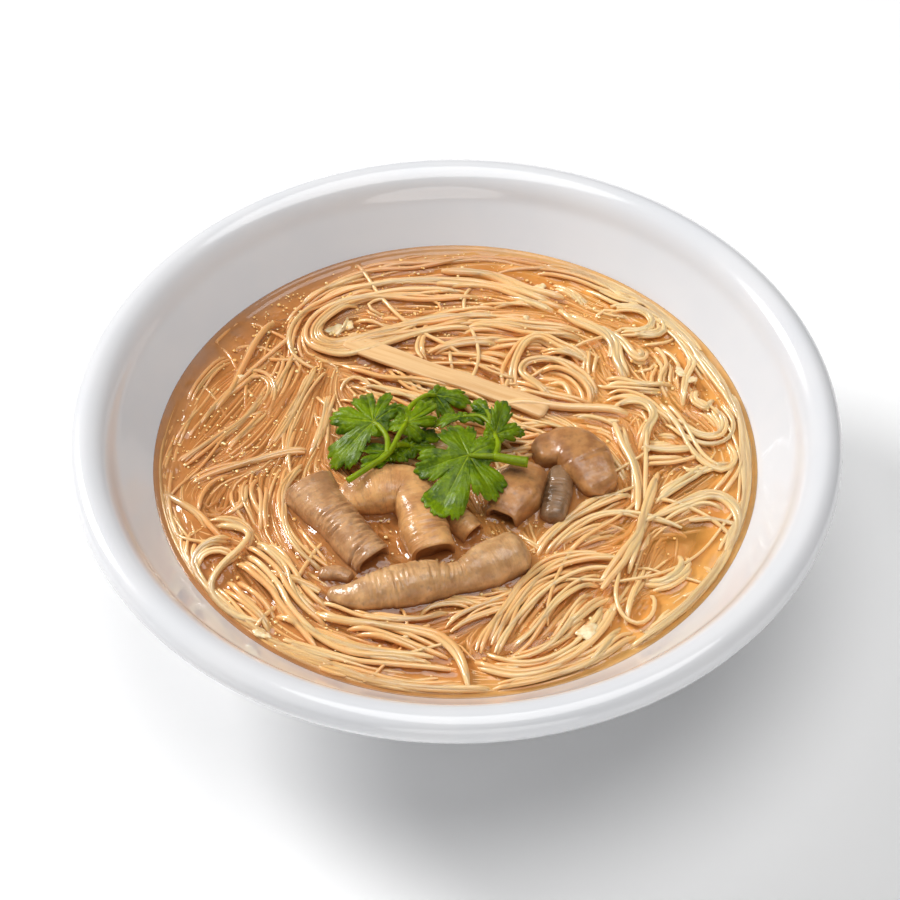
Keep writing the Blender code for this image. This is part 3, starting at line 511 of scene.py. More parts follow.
    (2, 0.8, 1, 1.3, (-56.4, 38.4), (-52.4, 35.4), (-47, 34.8), (-42.4, 36)),
    (1, 1.6, 3, 1.1, (-48, 52), (-46.6, 44), (-47.4, 36), (-48, 30)),
    (2, 0.6, 1, 1.2, (-33, 20), (-34, 25), (-33.4, 30)),
    (2, 0.8, 2, 1.0, (-31.6, 21), (-32, 26), (-29, 28.8), (-25, 27), (-24, 23)),
    (1, 5.0, 7, 1.2, (-36, 33), (-37, 22), (-36, 10), (-37, -2)),
    # between the toppings
    (1, 14, 18, 1.2, (-30, 32), (-18, 22), (-4, 12), (10, -2), (22, -18)),
    (1, 14, 16, 1.2, (-32, 12), (-12, 4), (8, -2), (24, 2), (38, 6)),
    (1, 14, 15, 1.2, (-42, -10), (-28, -24), (-14, -36), (4, -42), (20, -40)),
    (1, 8, 10, 1.2, (2, 24), (16, 14), (28, 8), (40, -2)),
    (1, 8, 9, 1.2, (-26, 26), (-12, 22), (4, 16), (18, 8)),
    (2, 4, 5, 1.2, (11, -10), (11, -20), (15, -29), (21, -36), (28, -39)),
    (1, 1.4, 2, 1.1, (15, 10), (18.6, 6), (18, 1), (13, 0)),
)

print(len(GUIDES), "bundles in plan")

# %% [markdown]
# ## How high the heap stands
#
# Strands dropped on a flat floor pile up where bundles cross, but in broth the heap floats almost
# level. So the strands are laid on a flat floor first, and the smoothed top of that pile is measured.
# Then every strand is let down by the difference between that top and the wanted level. Strands that
# lie next to one another move together, so each crossing keeps its order.

# %% The wanted level, over the broth, and the mounds and hollows in it: x, y, reach and height
LEVEL = -0.15
RISE = 1.6
MOUNDS = (
    (-34, 50, 13, 1.3), (27, 39, 13, 1.6), (-52, -42, 16, 1.6), (-20, -62, 12, 1.0), (28, -50, 18, 1.3),
    (62, 20, 16, 1.1), (46, -36, 8, 1.4), (52, 56, 9, 0.8), (-56, 14, 22, -1.5), (66, -31, 9, -1.6),
    (-72, -10, 9, -0.9), (-50, 62, 12, -1.0), (10, 74, 12, -0.9), (48, 0, 12, 0.5),
     (-20, -28, 21, -2.2),
    (13, -26, 11, -2.2), (-24, 38, 8, 1.0), (-10, 31.4, 8, 1.7), (4, 24.8, 8, 1.7), (18, 18, 8, 1.5),
)
print(len(MOUNDS), "mounds and hollows")

# %% The height map: how wide a cell is, how far the map reaches, and the lowest and highest topping
CELL = 0.4
REACH = 84.0
across = int(2 * REACH / CELL) + 1
axis = np.linspace(-REACH, REACH, across)
east, north = np.meshgrid(axis, axis, indexing="ij")
ceiling = np.full((across, across), 1e6)
lid = np.full((across, across), -1e6)


def cell_of(x, y):
    return (
        np.clip(((x + REACH) / CELL).astype(int), 0, across - 1),
        np.clip(((y + REACH) / CELL).astype(int), 0, across - 1),
    )


def soften(field, reach):
    """The field after a blur of that many millimetres."""
    k = np.arange(-int(3 * reach / CELL), int(3 * reach / CELL) + 1)
    kernel = np.exp(-0.5 * (k * CELL / reach) ** 2)
    kernel /= kernel.sum()

    def blurred(row):
        return np.convolve(np.pad(row, len(k) // 2, mode="edge"), kernel, "valid")

    for _ in range(2):
        field = np.apply_along_axis(blurred, 0, field).T
    return field


def disc(radius):
    """The cells of the map within a small radius of a place, as offsets in millimetres."""
    offsets = np.arange(-3, 4) * CELL
    ox, oy = (o.ravel() for o in np.meshgrid(offsets, offsets))
    near = ox**2 + oy**2 < radius**2
    return ox[near], oy[near]


def wanted_top():
    """The level over the broth that the heap should have, lower along the wall at the left."""
    level = np.full((across, across), BROTH_LEVEL + LEVEL)
    for x, y, reach, height in MOUNDS:
        level += height * np.exp(-(((east - x) ** 2 + (north - y) ** 2) / reach**2))
    wall_side = np.clip(0.6 - (east - 0.3 * north) / 70, 0.1, 1)
    return level - 1.6 * wall_side * np.clip((np.hypot(east, north) - 75) / 6, 0, 1) ** 2


# %% [markdown]
# ## One strand in plan
#
# Strands of a bundle are alike but never parallel. Each one follows its guide at its own distance, sways
# slowly, and starts and ends a little sooner or later than its neighbours. A few strays belong to no
# bundle. Near the wall every strand bends along the bowl.

# %% Values: how far apart the points of a strand are, how loose a bundle is, and the wall's room
STEP = 1.6
LOOSE = 1.4
WALL_ROOM = 1.4
BEND = 4.0
SEED = 20
draw = random.Random(SEED)

# %% Strands in plan


def sway(length, amount, wavelength):
    """A smooth sideways wandering along a strand."""
    s = np.arange(length) * STEP
    total = np.zeros(length)
    for _ in range(3):
        wave = wavelength * draw.uniform(0.6, 1.7)
        total += np.sin(2 * np.pi * s / wave + draw.uniform(0, 6.28)) * amount / 1.7
    return total


def inside_bowl(path):
    """Bends a strand along the wall where it would run out of the bowl."""
    reach = np.hypot(path[:, 0], path[:, 1])
    limit = wall_radius(BROTH_LEVEL) - WALL_ROOM
    bent = limit - BEND + BEND * np.tanh((reach - limit + BEND) / BEND)
    squeeze = np.where(reach > limit - BEND, bent, reach)
    return path * (squeeze / np.maximum(reach, 1e-6))[:, None]


def strand_of(places, width, thickness, spread=1.0):
    """One strand of a bundle in plan: x and y along it, and its radius."""
    middle = route(places, STEP)
    length = len(middle)
    short = 0.12 if width < 4 else 0.2
    trim_start = int(draw.uniform(0, short) * length)
    trim_end = length - int(draw.uniform(0, short) * length)
    along = np.gradient(middle, axis=0)
    along /= np.linalg.norm(along, axis=1)[:, None]
    side = np.column_stack([-along[:, 1], along[:, 0]])
    offset = draw.uniform(-0.5, 0.5) * width * spread * LOOSE
    offset = offset + sway(length, 0.16 * width * spread + 0.3, 44)
    path = middle + side * offset[:, None]
    return inside_bowl(path[trim_start:trim_end]), 0.5 * thickness * draw.uniform(0.74, 1.16)


def stray_strand(thickness):
    """A strand that keeps to no bundle: it sets off anywhere and its bend keeps changing."""
    length = int(draw.uniform(25, 80) / STEP)
    reach, turn = 74 * math.sqrt(draw.random()), draw.uniform(0, 6.28)
    heading = draw.uniform(0, 6.28) + np.cumsum(sway(length, 0.04, 50) + draw.gauss(0, 0.022)) * STEP
    path = np.cumsum(np.column_stack([np.cos(heading), np.sin(heading)]) * STEP, axis=0)
    path += (reach * math.cos(turn), reach * math.sin(turn)) - path[length // 2]
    return inside_bowl(path), 0.5 * thickness * draw.uniform(0.8, 1.2)


# %% [markdown]
# ## Laying one strand
#
# A strand comes to rest on what is under it. It presses in a little, spans small hollows because a
# cooked noodle is springy, and its ends dip into the broth. Then the map is raised along it, so that
# the next strand rests on it in turn.

# %% Values: how a strand presses in, spans and dips at its ends
PRESSED = 0.62
SPRING = 0.28
DIP, DIP_RUN = 3.4, 10.0


# %% Laying


def end_dip(run, depth, reach):
    """How far a strand sinks towards its two ends."""
    from_end = np.minimum(run, run[-1] - run)
    return depth * np.clip(1 - from_end / reach, 0, 1) ** 2


def lay(top, path, radius, room):
    """Rests a strand on the map and below the room left for it, and raises the map by it."""
    x, y = path[:, 0], path[:, 1]
    under = np.full(len(x), -1e9)
    for dx, dy in ((0, 0), (0.6, 0), (-0.6, 0), (0, 0.6), (0, -0.6)):
        under = np.maximum(under, top[cell_of(x + dx * radius, y + dy * radius)])
    room = room[cell_of(x, y)] - radius
    z = np.minimum(under + PRESSED * radius, room)
    slope = SPRING * STEP * np.arange(len(z))
    held = np.maximum.accumulate(z + slope) - slope
    held = np.maximum(held, (np.maximum.accumulate(z[::-1] + slope) - slope)[::-1])
    held = np.minimum(held, room)
    z = np.convolve(np.pad(held, 2, mode="edge"), [0.1, 0.22, 0.36, 0.22, 0.1], mode="valid")
    z = z - end_dip(np.arange(len(z)) * STEP, DIP, DIP_RUN)
    ox, oy = disc(radius)
    crown = np.sqrt(radius**2 - (ox**2 + oy**2))
    np.maximum.at(top, cell_of(x[:, None] + ox, y[:, None] + oy), z[:, None] + crown)
    return np.column_stack([x, y, z])


# %% [markdown]
# ## Braised intestine
#
# Cleaned pork intestine is a soft tube. Braising makes it shrink along its length, so it wrinkles
# crossways, and a cut end shows a thick pale wall round a dark hollow. Each piece is a loft: rings are
# set along its middle line, flattened a little where it lies, and creased by waves that wander round
# the tube, so that no two wrinkles match.

# %% Where each braised piece lies
# Middle line with its height over the broth, half-widths along it, flatness, which ends are cut, how
# square its section is, and where along it the skin is creased, as shares of its length.
GUTS = {
    "intestine_left": (((-39.5, -14.5, 2.2), (-36.5, -19.5, 2.4), (-31.6, -25.7, 2.6),
                        (-26.4, -33, 2.5), (-21.8, -38.6, 2.2)),
                       (7.6, 6.4, 6.0, 5.8, 5.5), 0.86, (True, True), 0.85, (0.42, 0.96)),
    "intestine_bent": (((-29.5, -18, 2.0), (-20.5, -15, 2.8), (-13, -15.5, 3.2), (-10, -21.5, 3.0),
                        (-8, -29.5, 2.8), (-5.6, -36.6, 2.4)),
                       (4.6, 7.0, 6.8, 6.2, 6.8, 6.2), 0.86, (False, True), 0.8, (0.74, 0.93)),
    "intestine_short": (((-1.4, -22.8, 1.6), (1.8, -26, 1.8), (4.6, -28.9, 1.6)),
                        (3.8, 4.0, 3.7), 1.0, (False, True), 0.9, (0.3, 0.6)),
    "intestine_long": (((-32, -49.5, 0.6), (-26, -50.4, 1.4), (-17, -48.6, 2.2), (-7, -46.2, 2.4),
                        (2, -44.2, 2.0), (9, -40.4, 2.2), (15, -37.2, 2.2)),
                       (2.4, 4.8, 6.1, 6.2, 4.3, 6.5, 6.4), 0.95, (False, False), 0.95, (0.2, 0.74)),
    "intestine_flap": (((12.8, -23.5, 2.0), (16.2, -17, 3.2), (19.6, -9.6, 2.6)),
                       (4.8, 7.2, 5.8), 0.62, (True, False), 0.5, (0.0, 0.1)),
    "intestine_dark": (((26.5, -22, 0.8), (28, -14.6, 1.4), (28.6, -8, 1.2)),
                       (3.6, 4.2, 3.4), 0.9, (False, False), 0.8, (0.2, 0.8)),
    "intestine_right": (((25, 0.2, 1.8), (31, 0.2, 2.6), (35.9, -4.8, 2.8), (39.2, -11.6, 2.0)),
                        (5.2, 7.2, 7.4, 5.2), 0.66, (False, False), 0.55, (0.55, 0.75)),
    "intestine_scrap": (((-35, -42.5, 0.8), (-31.5, -42.6, 1.2), (-28.5, -43.6, 0.8)),
                        (1.9, 2.2, 1.8), 1.0, (False, False), 0.9, (0.2, 0.7)),
}
GUT_SIDES = 64
GUT_STEP = 0.36
GUT_WALL = 1.1
# a cut end: how far out, how wide as a share, how many walls thick inwards, and how deep in the hollow
CUT_END = ((0.35, 0.98, 0, 0), (0.6, 0.93, 0, 0.05), (0.68, 1, 0.55, 0.15), (0.5, 1, 0.9, 0.3),
           (0.1, 1, 1.1, 0.6), (-0.5, 0.9, 1, 0.9), (-1.0, 0.72, 1, 1), (-1.2, 0.4, 1, 1))
print(len(GUTS), "braised pieces")

# %% Wrinkles and creases in the skin


def grooves_of(length, creased, wander):
    """Short creases across the skin: place along it, side it faces, extent, depth, width and slant."""
    made, at = [], creased[0] * length
    while at < creased[1] * length:
        for _ in range(wander.integers(1, 4)):
            made.append((at + wander.normal(0, 0.5), wander.normal(1.5, 0.75), wander.uniform(0.35, 0.8),
                         wander.uniform(0.25, 0.6), wander.uniform(0.3, 0.5), wander.uniform(-1.4, -0.2)))
        at += wander.uniform(1.1, 2.3)
    return made


def skin_relief(run, angle, grooves, phases):
    """How far the skin stands out at one place along the tube, for each angle round it."""
    swell = np.sin(run / 3.6 + 1.2 * np.sin(angle + phases[0]))
    relief = 0.14 * swell * np.sin(2 * angle + run / 5.1 + phases[1])
    ribs = 0.05 * np.sin(run / 0.7 + 3 * np.sin(angle + phases[3]))
    relief += 0.2 * np.sin(3 * angle + run / 6.3 + phases[2]) + ribs
    for at, facing, extent, depth, width, slant in grooves:
        if abs(run - at) < 4:
            off = (angle - facing + np.pi) % (2 * np.pi) - np.pi
            lane = (run - at - slant * off - 0.35 * np.sin(2.2 * off)) / width
            fade = np.clip(1 - (off / extent) ** 2, 0, 1)
            relief -= depth * fade * (np.exp(-lane**2) - 0.35 * np.exp(-((np.abs(lane) - 1.6) ** 2)))
    return relief


# %% One piece as rings


def gut_rings(places, widths, flat, cut, square, creased, seed):
    """Rings of points along one piece, and notes for its finish: hollow, and place along and round it."""
    middle = route([(x, y, BROTH_LEVEL + z) for x, y, z in places], GUT_STEP)
    along = np.gradient(middle, axis=0)
    along /= np.linalg.norm(along, axis=1)[:, None]
    side = np.column_stack([-along[:, 1], along[:, 0], np.zeros(len(along))])
    side /= np.linalg.norm(side, axis=1)[:, None]
    upward = np.cross(along, side)
    upward *= np.sign(upward[:, 2])[:, None]
    share = np.linspace(0, len(widths) - 1, len(middle))
    width = np.interp(share, np.arange(len(widths)), widths)
    kernel = np.ones(9) / 9
    width = np.convolve(np.pad(width, 4, mode="edge"), kernel, mode="valid")
    angle = np.linspace(0, 2 * np.pi, GUT_SIDES, endpoint=False)
    run = np.arange(len(middle)) * GUT_STEP
    wander = np.random.default_rng(seed + 5)
    grooves = grooves_of(run[-1], creased, wander)
    phases = wander.uniform(0, 6.28, 4)

    def ring(k, slide, reach, crease=1.0):
        at = run[k] + slide * (1 if k else -1)
        size = min(1.0, width[k] / 5)
        relief = skin_relief(at, angle, grooves, phases) * crease * size
        r = width[k] * reach + relief
        uneven = 0.35 * np.sin(2 * angle + phases[1]) * (crease < 1) * size
        centre = middle[k] + along[k] * slide
        wide = r * np.sign(np.cos(angle)) * np.abs(np.cos(angle)) ** square
        high = r * flat * np.sign(np.sin(angle)) * np.abs(np.sin(angle)) ** square
        return centre + side[k] * wide[:, None] + upward[k] * high[:, None] + along[k] * uneven[:, None]

    rings, inner = [ring(k, 0, 1) for k in range(len(middle))], [0.0] * len(middle)
    for k, way, opened in ((len(middle) - 1, 1, cut[1]), (0, -1, cut[0])):
        made, deep = [], []
        if opened:
            wall = GUT_WALL / width[k]
            for slide, reach, walls, depth in CUT_END:
                made.append(ring(k, way * slide, reach - walls * wall, 0.7))
                deep.append(depth)
        else:
            for turn in np.linspace(0.1, 0.97, 12) * np.pi / 2:
                slide = way * 0.72 * width[k] * math.sin(turn)
                made.append(ring(k, slide, math.cos(turn), math.cos(turn)))
                deep.append(0.0)
        if way == 1:
            rings, inner = rings + made, inner + deep
        else:
            rings, inner = made[::-1] + rings, deep[::-1] + inner
    rings = np.array(rings)
    return rings, {
        "inside": np.repeat(inner, GUT_SIDES),
        "along": np.repeat(np.arange(len(rings)) * GUT_STEP + 100 * seed, GUT_SIDES),
        "turn_x": np.tile(4 * np.cos(angle), len(rings)),
        "turn_y": np.tile(4 * np.sin(angle), len(rings)),
    }


# %% [markdown]
# ## The look of cooked intestine
#
# Braised skin is brown in patches, greyer in spots, darker in its wrinkles and where broth soaks it. The
# wrinkle noise reads the place along and round the tube, which each point carries, so the wrinkles turn
# with the piece. A coat of uneven strength is the film of fat and broth that glints here and there.

# %% The look of cooked intestine


def gut_finish(name, light, dark, grey, creased=0.7, hollow=tint(176, 124, 74)):
    skin = Finish(name)
    patches = skin.span(skin.noise(4.5, detail=5.0), 0.36, 0.66)
    colour = skin.mix(patches, light, dark)
    colour = skin.mix(skin.span(skin.noise(1.9, detail=6.0), 0.5, 0.75, 0.0, 0.6), colour, grey)
    around = {0: skin.attribute("along"), 1: skin.attribute("turn_x"), 2: skin.attribute("turn_y")}
    spread = {0: skin.add("CombineXYZ", around).outputs[0], 1: (1.5, 0.4, 0.4)}
    lengthways = skin.add("VectorMath", spread, operation="MULTIPLY").outputs[0]
    wrinkle = skin.add("TexNoise", {"Vector": lengthways, "Scale": 1.0, "Detail": 3.0}).outputs[0]
    colour = skin.mix(skin.span(wrinkle, 0.52, 0.7, 0.0, 0.5 * creased), colour, tint(150, 104, 66))
    colour = skin.mix(skin.attribute("inside"), colour, hollow)
    darkening = skin.span(skin.height(), (BROTH_LEVEL + 0.4) * MM, (BROTH_LEVEL + 3.0) * MM, 0.8, 0.0)
    colour = skin.mix(darkening, colour, tint(132, 80, 38))
    fine = skin.bump(skin.noise(0.9, detail=5.0), 0.2, 0.55)
    relief = {"Height": wrinkle, "Distance": 0.35 * MM, "Strength": creased, "Normal": fine}
    creases = skin.add("Bump", relief).outputs[0]
    wet = skin.span(skin.noise(2.6, detail=3.0), 0.42, 0.6, 0.25, 1.0)
    return skin.done(
        Base_Color=colour, Roughness=0.5, Normal=creases, Specular_IOR_Level=0.35,
        Coat_Weight=wet, Coat_Roughness=0.1, Coat_Normal=fine,
        Subsurface_Weight=0.15, Subsurface_Scale=0.0015, Subsurface_Radius=(1.0, 0.5, 0.25),
    )


warm_gut = gut_finish("braised_warm", tint(224, 168, 104), tint(192, 134, 78), tint(168, 122, 78))
tan_gut = gut_finish("braised_tan", tint(206, 156, 106), tint(174, 124, 78), tint(148, 114, 82))
dark_gut = gut_finish("braised_dark", tint(156, 120, 86), tint(122, 92, 62), tint(102, 82, 62))
pale_gut = gut_finish("braised_pale", tint(216, 168, 114), tint(184, 136, 86), tint(158, 124, 88), 0.5)
smooth_gut = gut_finish(
    "braised_smooth", tint(190, 134, 78), tint(156, 102, 54), tint(134, 92, 54), 0.2, tint(96, 68, 46)
)
GUT_LOOKS = {"intestine_dark": dark_gut, "intestine_bent": warm_gut, "intestine_short": warm_gut,
             "intestine_flap": smooth_gut, "intestine_right": smooth_gut, "intestine_long": pale_gut}


# %% The pieces themselves


def note_in_maps(points):
    """Keeps the highest and lowest place of a topping over every cell of the height map."""
    cells = cell_of(points[:, 0], points[:, 1])
    np.minimum.at(ceiling, cells, points[:, 2])
    np.maximum.at(lid, cells, points[:, 2])


for seed, (name, shape) in enumerate(GUTS.items()):
    rings, notes = gut_rings(*shape, seed)
    points, faces = loft(rings)
    notes = {key: np.concatenate([values, [values[0], values[-1]]]) for key, values in notes.items()}
    piece = mesh_piece("braised_" + name, points, faces, GUT_LOOKS.get(name, tan_gut), **notes)
    attach(piece, "intestine", name)
    note_in_maps(points)

# %% [markdown]
# ## The bamboo strip
#
# Bamboo shoot is sliced lengthways, so it is flat, pale and fibrous, with softened edges. It is a loft
# of flat rings, with shallow grooves on its upper face, and its colour is noise stretched along it.

# %% The bamboo strip
STRIP = ((-31.5, 41.5), (25.5, 14.6))
STRIP_WIDTH, STRIP_THICKNESS, STRIP_TOP = 6.2, 1.4, 47.6


def strip_rows():
    start, end = np.array(STRIP[0]), np.array(STRIP[1])
    run = end - start
    length = np.linalg.norm(run)
    along = run / length
    side = np.array([-along[1], along[0]])
    rings = []
    shape = [(-1, 0.1), (-0.985, 0.6), (-0.93, 0.92), (-0.8, 1)]
    shape += [(u, 1) for u in np.linspace(-0.7, 0.7, 22)]
    shape += [(-a, b) for a, b in shape[3::-1]]
    shape += [(a, -b) for a, b in shape[::-1]]
    u, v = np.array(shape).T
    for s in np.linspace(-0.5, 0.5, 120):
        x = s * length
        centre = (start + end) / 2 + along * x + side * (0.0008 * x**2 + 0.25 * math.sin(x / 7))
        tip = min(1.0, (0.5 - abs(s)) * length / 0.8)
        narrow = STRIP_WIDTH / 2 * (1 - 0.10 * (1 - tip) - 0.08 * math.sin(x / 9 + 1)) * (0.8 + 0.2 * tip)
        grooves = 0.045 * np.sin(u * 11 + 0.4 * math.sin(x / 5)) * (v > 0.9)
        thick = STRIP_THICKNESS / 2 * (0.45 + 0.55 * tip)
        height = STRIP_TOP - STRIP_THICKNESS / 2 - 0.0004 * x**2
        row = centre + side * (u * narrow)[:, None]
        rings.append(np.column_stack([row, height + v * thick + grooves + 0.12 * math.sin(x / 3.1)]))
    return np.array(rings)


# %% The look of the strip: its fibres run along it, so the noise is turned by the strip's own angle
STRIP_TURN = 0.441


def strip_finish():
    flesh = Finish("bamboo_flesh")
    turn = flesh.add("Mapping", {"Vector": flesh.place, "Rotation": (0, 0, STRIP_TURN)}).outputs[0]
    stretch = flesh.add("Mapping", {"Vector": turn, "Scale": (40.0, 900.0, 200.0)}).outputs[0]
    fibres = flesh.add("TexNoise", {"Vector": stretch, "Scale": 1.0, "Detail": 3.0}).outputs[0]
    colour = flesh.mix(flesh.span(fibres, 0.35, 0.75), tint(242, 198, 142), tint(224, 172, 112))
    grain = flesh.bump(fibres, 0.12, 0.35)
    return flesh.done(Base_Color=colour, Roughness=0.35, Normal=grain, Coat_Weight=0.5, Coat_Roughness=0.15)


strip_points, strip_faces = loft(strip_rows())
strip = mesh_piece("sliced_bamboo_strip", strip_points, strip_faces, strip_finish())
attach(strip, "bamboo", "bamboo_strip")
note_in_maps(strip_points)

# %% [markdown]
# ## Laying the heap
#
# The lowest strands fill the bowl round every guide, and the bundles that show come after them. The
# strip and the toppings are marked on the height map, and the few strands that cross them come last.
# The whole heap is laid twice with the same draws: once to measure the pile, once to let it down.

# %% Laying order: level, how far its bundles spread, and how many strays come with it
MORE = 1.2
FAR = 1e6  # no ceiling, or no topping, over a cell
ORDER = ((None, 2.2, 90), (0, 1, 0), (1, 1, 20), (2, 1, 14), (3, 1, 0))


def lay_heap(room, cover):
    """Lays every strand on a flat floor, always in the same random order."""
    draw.seed(SEED)
    top = np.zeros((across, across))
    laid = {"deep": [], "left": [], "right": [], "filling": []}
    for level, spread, strays in ORDER:
        if level == 3:
            np.maximum(top, cover, out=top)
        guides = [g for g in GUIDES if (level is None and g[0] < 3) or g[0] == level]
        jobs = [g for g in guides for _ in range(round(MORE * g[2]))]
        jobs += [None] * strays
        draw.shuffle(jobs)
        for job in jobs:
            path, radius = strand_of(job[4:], job[1], job[3], spread) if job else stray_strand(1.1)
            tone = draw.random()
            if len(path) > 8:
                free = np.full_like(room, FAR) if level == 3 else room
                side = "deep" if level is None else "left" if path[:, 0].mean() < 0 else "right"
                laid[side].append((lay(top, path, radius, free), radius, tone))
    return top, laid


def let_down(height, fall, level):
    """A height in the flat pile after its fall. What stands over the level is pressed towards it."""
    over = height - fall - level
    return level + np.where(over > 0, RISE * np.tanh(over / RISE), over)


# %% Laid flat, measured, laid again and let down
open_sky = np.full((across, across), FAR)
piled = lay_heap(open_sky, -open_sky)[0]
goal = wanted_top()
drop = soften(piled, 3.5) - goal
under_toppings, over_toppings = ceiling < FAR / 10, lid > -FAR / 10
top, laid = lay_heap(
    np.where(under_toppings, ceiling + drop, FAR), np.where(over_toppings, lid + drop, -FAR)
)
for strands in laid.values():
    for path, radius, _ in strands:
        here = cell_of(path[:, 0], path[:, 1])
        level = let_down(path[:, 2], drop[here], goal[here])
        path[:, 2] = np.maximum(level, wall_height(np.hypot(path[:, 0], path[:, 1])) + radius + 0.6)
top = let_down(top, drop, goal)
top = np.where(over_toppings, np.maximum(top, lid), top)
heap = np.hypot(east, north) < 78
print("piled up:", np.percentile(piled[heap], (10, 50, 90)).round(1))

# %% [markdown]
# ## Strands that fill the bare places
#
# Between the bundles a real heap shows more strands, partly sunk. They run the same way as their
# neighbours, so the headings of the laid strands are blurred into a flow, and short strands are walked
# along it from places that are still bare. A few pools of open broth are left free.

# %% Values: pools (x, y, reach), rounds (how deep a bare cell is, how high strands float, how many)
OPEN_BROTH = (
    (-50, 64, 13), (-64, 52, 12), (-72, 40, 8), (64, -31, 7.5), (70, -36, 6), (-20, -26, 7),
     (8, -34, 4),
)
FILL_ROUNDS = ((0.8, 0.25, 620), (1.4, -0.3, 520))
FEWEST_BARE = 60
SHORTEST = 6

# %% The flow, and a walk along it


def flow_of(strands):
    """The way the strands run near every cell, from the doubled angle, so that both senses agree."""
    way = np.zeros((2, across, across))
    for path, _, _ in strands:
        heading = 2 * np.arctan2(np.gradient(path[:, 1]), np.gradient(path[:, 0]))
        cells = cell_of(path[:, 0], path[:, 1])
        np.add.at(way[0], cells, np.cos(heading))
        np.add.at(way[1], cells, np.sin(heading))
    return 0.5 * np.arctan2(soften(way[1], 2.6), soften(way[0], 2.6))


def follow(flow, start, heading, steps, allowed):
    """Walks with the flow from a place, and stops where it would leave the heap."""
    here, path = np.array(start, dtype=float), []
    for _ in range(steps):
        angle = flow[cell_of(*here)]
        turn = (angle - heading + math.pi / 2) % math.pi - math.pi / 2
        heading += 0.6 * turn + draw.gauss(0, 0.03)
        here = here + STEP * np.array([math.cos(heading), math.sin(heading)])
        if not allowed[cell_of(*here)]:
            break
        path.append(here)
    return path


# %% Filling


def filled_in(top, depth, lift, most):
    """Short strands laid along the flow, each through the middle of a place that is still bare."""
    made, flow = [], flow_of([s for side in laid.values() for s in side])
    allowed = np.hypot(east, north) < 79 + 2.2 * np.clip(east / 40, -0.5, 1)
    for x, y, reach in OPEN_BROTH:
        allowed &= np.hypot(east - x, north - y) > reach
    for _ in range(most):
        bare = np.argwhere(allowed & (top < BROTH_LEVEL - depth) & (lid < 0))
        if len(bare) < FEWEST_BARE:
            break
        start = axis[bare[draw.randrange(len(bare))]]
        heading = flow[cell_of(*start)]
        back = follow(flow, start, heading + math.pi, draw.randint(6, 22), allowed)
        path = np.array(back[::-1] + [start] + follow(flow, start, heading, draw.randint(6, 22), allowed))
        if len(path) < SHORTEST:
            top[tuple(cell_of(*start))] = BROTH_LEVEL
            continue
        radius = draw.uniform(0.42, 0.7)
        run = np.arange(len(path)) * STEP
        z = BROTH_LEVEL + lift + draw.uniform(-0.6, 0.2) - radius
        z = z + 0.25 * np.sin(run / draw.uniform(5, 9) + draw.uniform(0, 6))
        z -= end_dip(run, 2.4, 8.0)
        z = np.minimum(z, ceiling[cell_of(path[:, 0], path[:, 1])] - radius)
        made.append((np.column_stack([path, z]), radius, draw.random()))
        ox, oy = disc(radius + 0.35)
        ix, iy = cell_of(path[:, :1] + ox, path[:, 1:] + oy)
        np.maximum.at(top, (ix, iy), np.broadcast_to(z[:, None] + radius, ix.shape))
    return made


def bare_share(depth):
    return round(float((top < BROTH_LEVEL - depth)[heap].mean()), 3)


print("bare share:", bare_share(0.9))
for depth, lift, most in FILL_ROUNDS:
    made = filled_in(top, depth, lift, most)
    laid["filling"] += made
    print(len(made), "filling strands, bare share:", bare_share(depth))
print("heap over the broth:", (np.percentile(top[heap], (1, 10, 50, 90, 99)) - BROTH_LEVEL).round(1))

# %% [markdown]
# ## From lines to noodles
#
# The strands are plain lines so far. Geometry Nodes turns each line into a curve, sweeps a small round
# section along it with the strand's own radius, and closes the ends. One tree serves every group.

# %% A node tree with one named size, which ends in real meshes with their finish


def node_tree(name, size, finish, middle_nodes, values, links):
    """Builds the tree. The last of its own nodes gives a mesh. Returns the tree and the size's socket."""
    tree = bpy.data.node_groups.new(name, "GeometryNodeTree")
    label, socket_type, usual = size
    tree.interface.new_socket("Geometry", in_out="INPUT", socket_type="NodeSocketGeometry")
    socket = tree.interface.new_socket(label, in_out="INPUT", socket_type=socket_type)
    socket.default_value = usual
    tree.interface.new_socket("Geometry", in_out="OUTPUT", socket_type="NodeSocketGeometry")
    ends = (("smooth", "GeometryNodeSetShadeSmooth"), ("real", "GeometryNodeRealizeInstances"),
            ("finish", "GeometryNodeSetMaterial"), ("out", "NodeGroupOutput"))
    node = {key: tree.nodes.new(kind) for key, kind in (("in", "NodeGroupInput"), *middle_nodes, *ends)}
    for key, entry, value in (*values, ("finish", "Material", finish)):
        node[key].inputs[entry].default_value = value
    order = ("smooth", "real", "finish", "out")
    chain = [(a, "Geometry", b, "Geometry") for a, b in zip(order, order[1:])]
    for start, out, end, into in (*links, *chain):
        tree.links.new(node[start].outputs[out], node[end].inputs[into])
    return tree, socket.identifier


# %% The sweep as a node tree


def sweep_tree(finish, sides):
    return node_tree(
        "sweep_noodles", ("Sides", "NodeSocketInt", sides), finish,
        (("curve", "GeometryNodeMeshToCurve"), ("radius", "GeometryNodeInputNamedAttribute"),
         ("section", "GeometryNodeCurvePrimitiveCircle"), ("sweep", "GeometryNodeCurveToMesh")),
        (("radius", "Name", "radius"), ("section", "Radius", 1.0), ("sweep", "Fill Caps", True)),
        (("in", "Geometry", "curve", "Mesh"), ("in", "Sides", "section", "Resolution"),
         ("curve", "Curve", "sweep", "Curve"), ("section", "Curve", "sweep", "Profile Curve"),
         ("radius", "Attribute", "sweep", "Scale"), ("sweep", "Mesh", "smooth", "Geometry")),
    )


def noded(name, mesh, tree, socket, value):
    """Runs a mesh through a node tree with that size, and shows the plain result."""
    source = show(name, mesh)
    nodes = source.modifiers.new("nodes", "NODES")
    nodes.node_group = tree
    nodes[socket] = value
    return show(name, frozen(source))


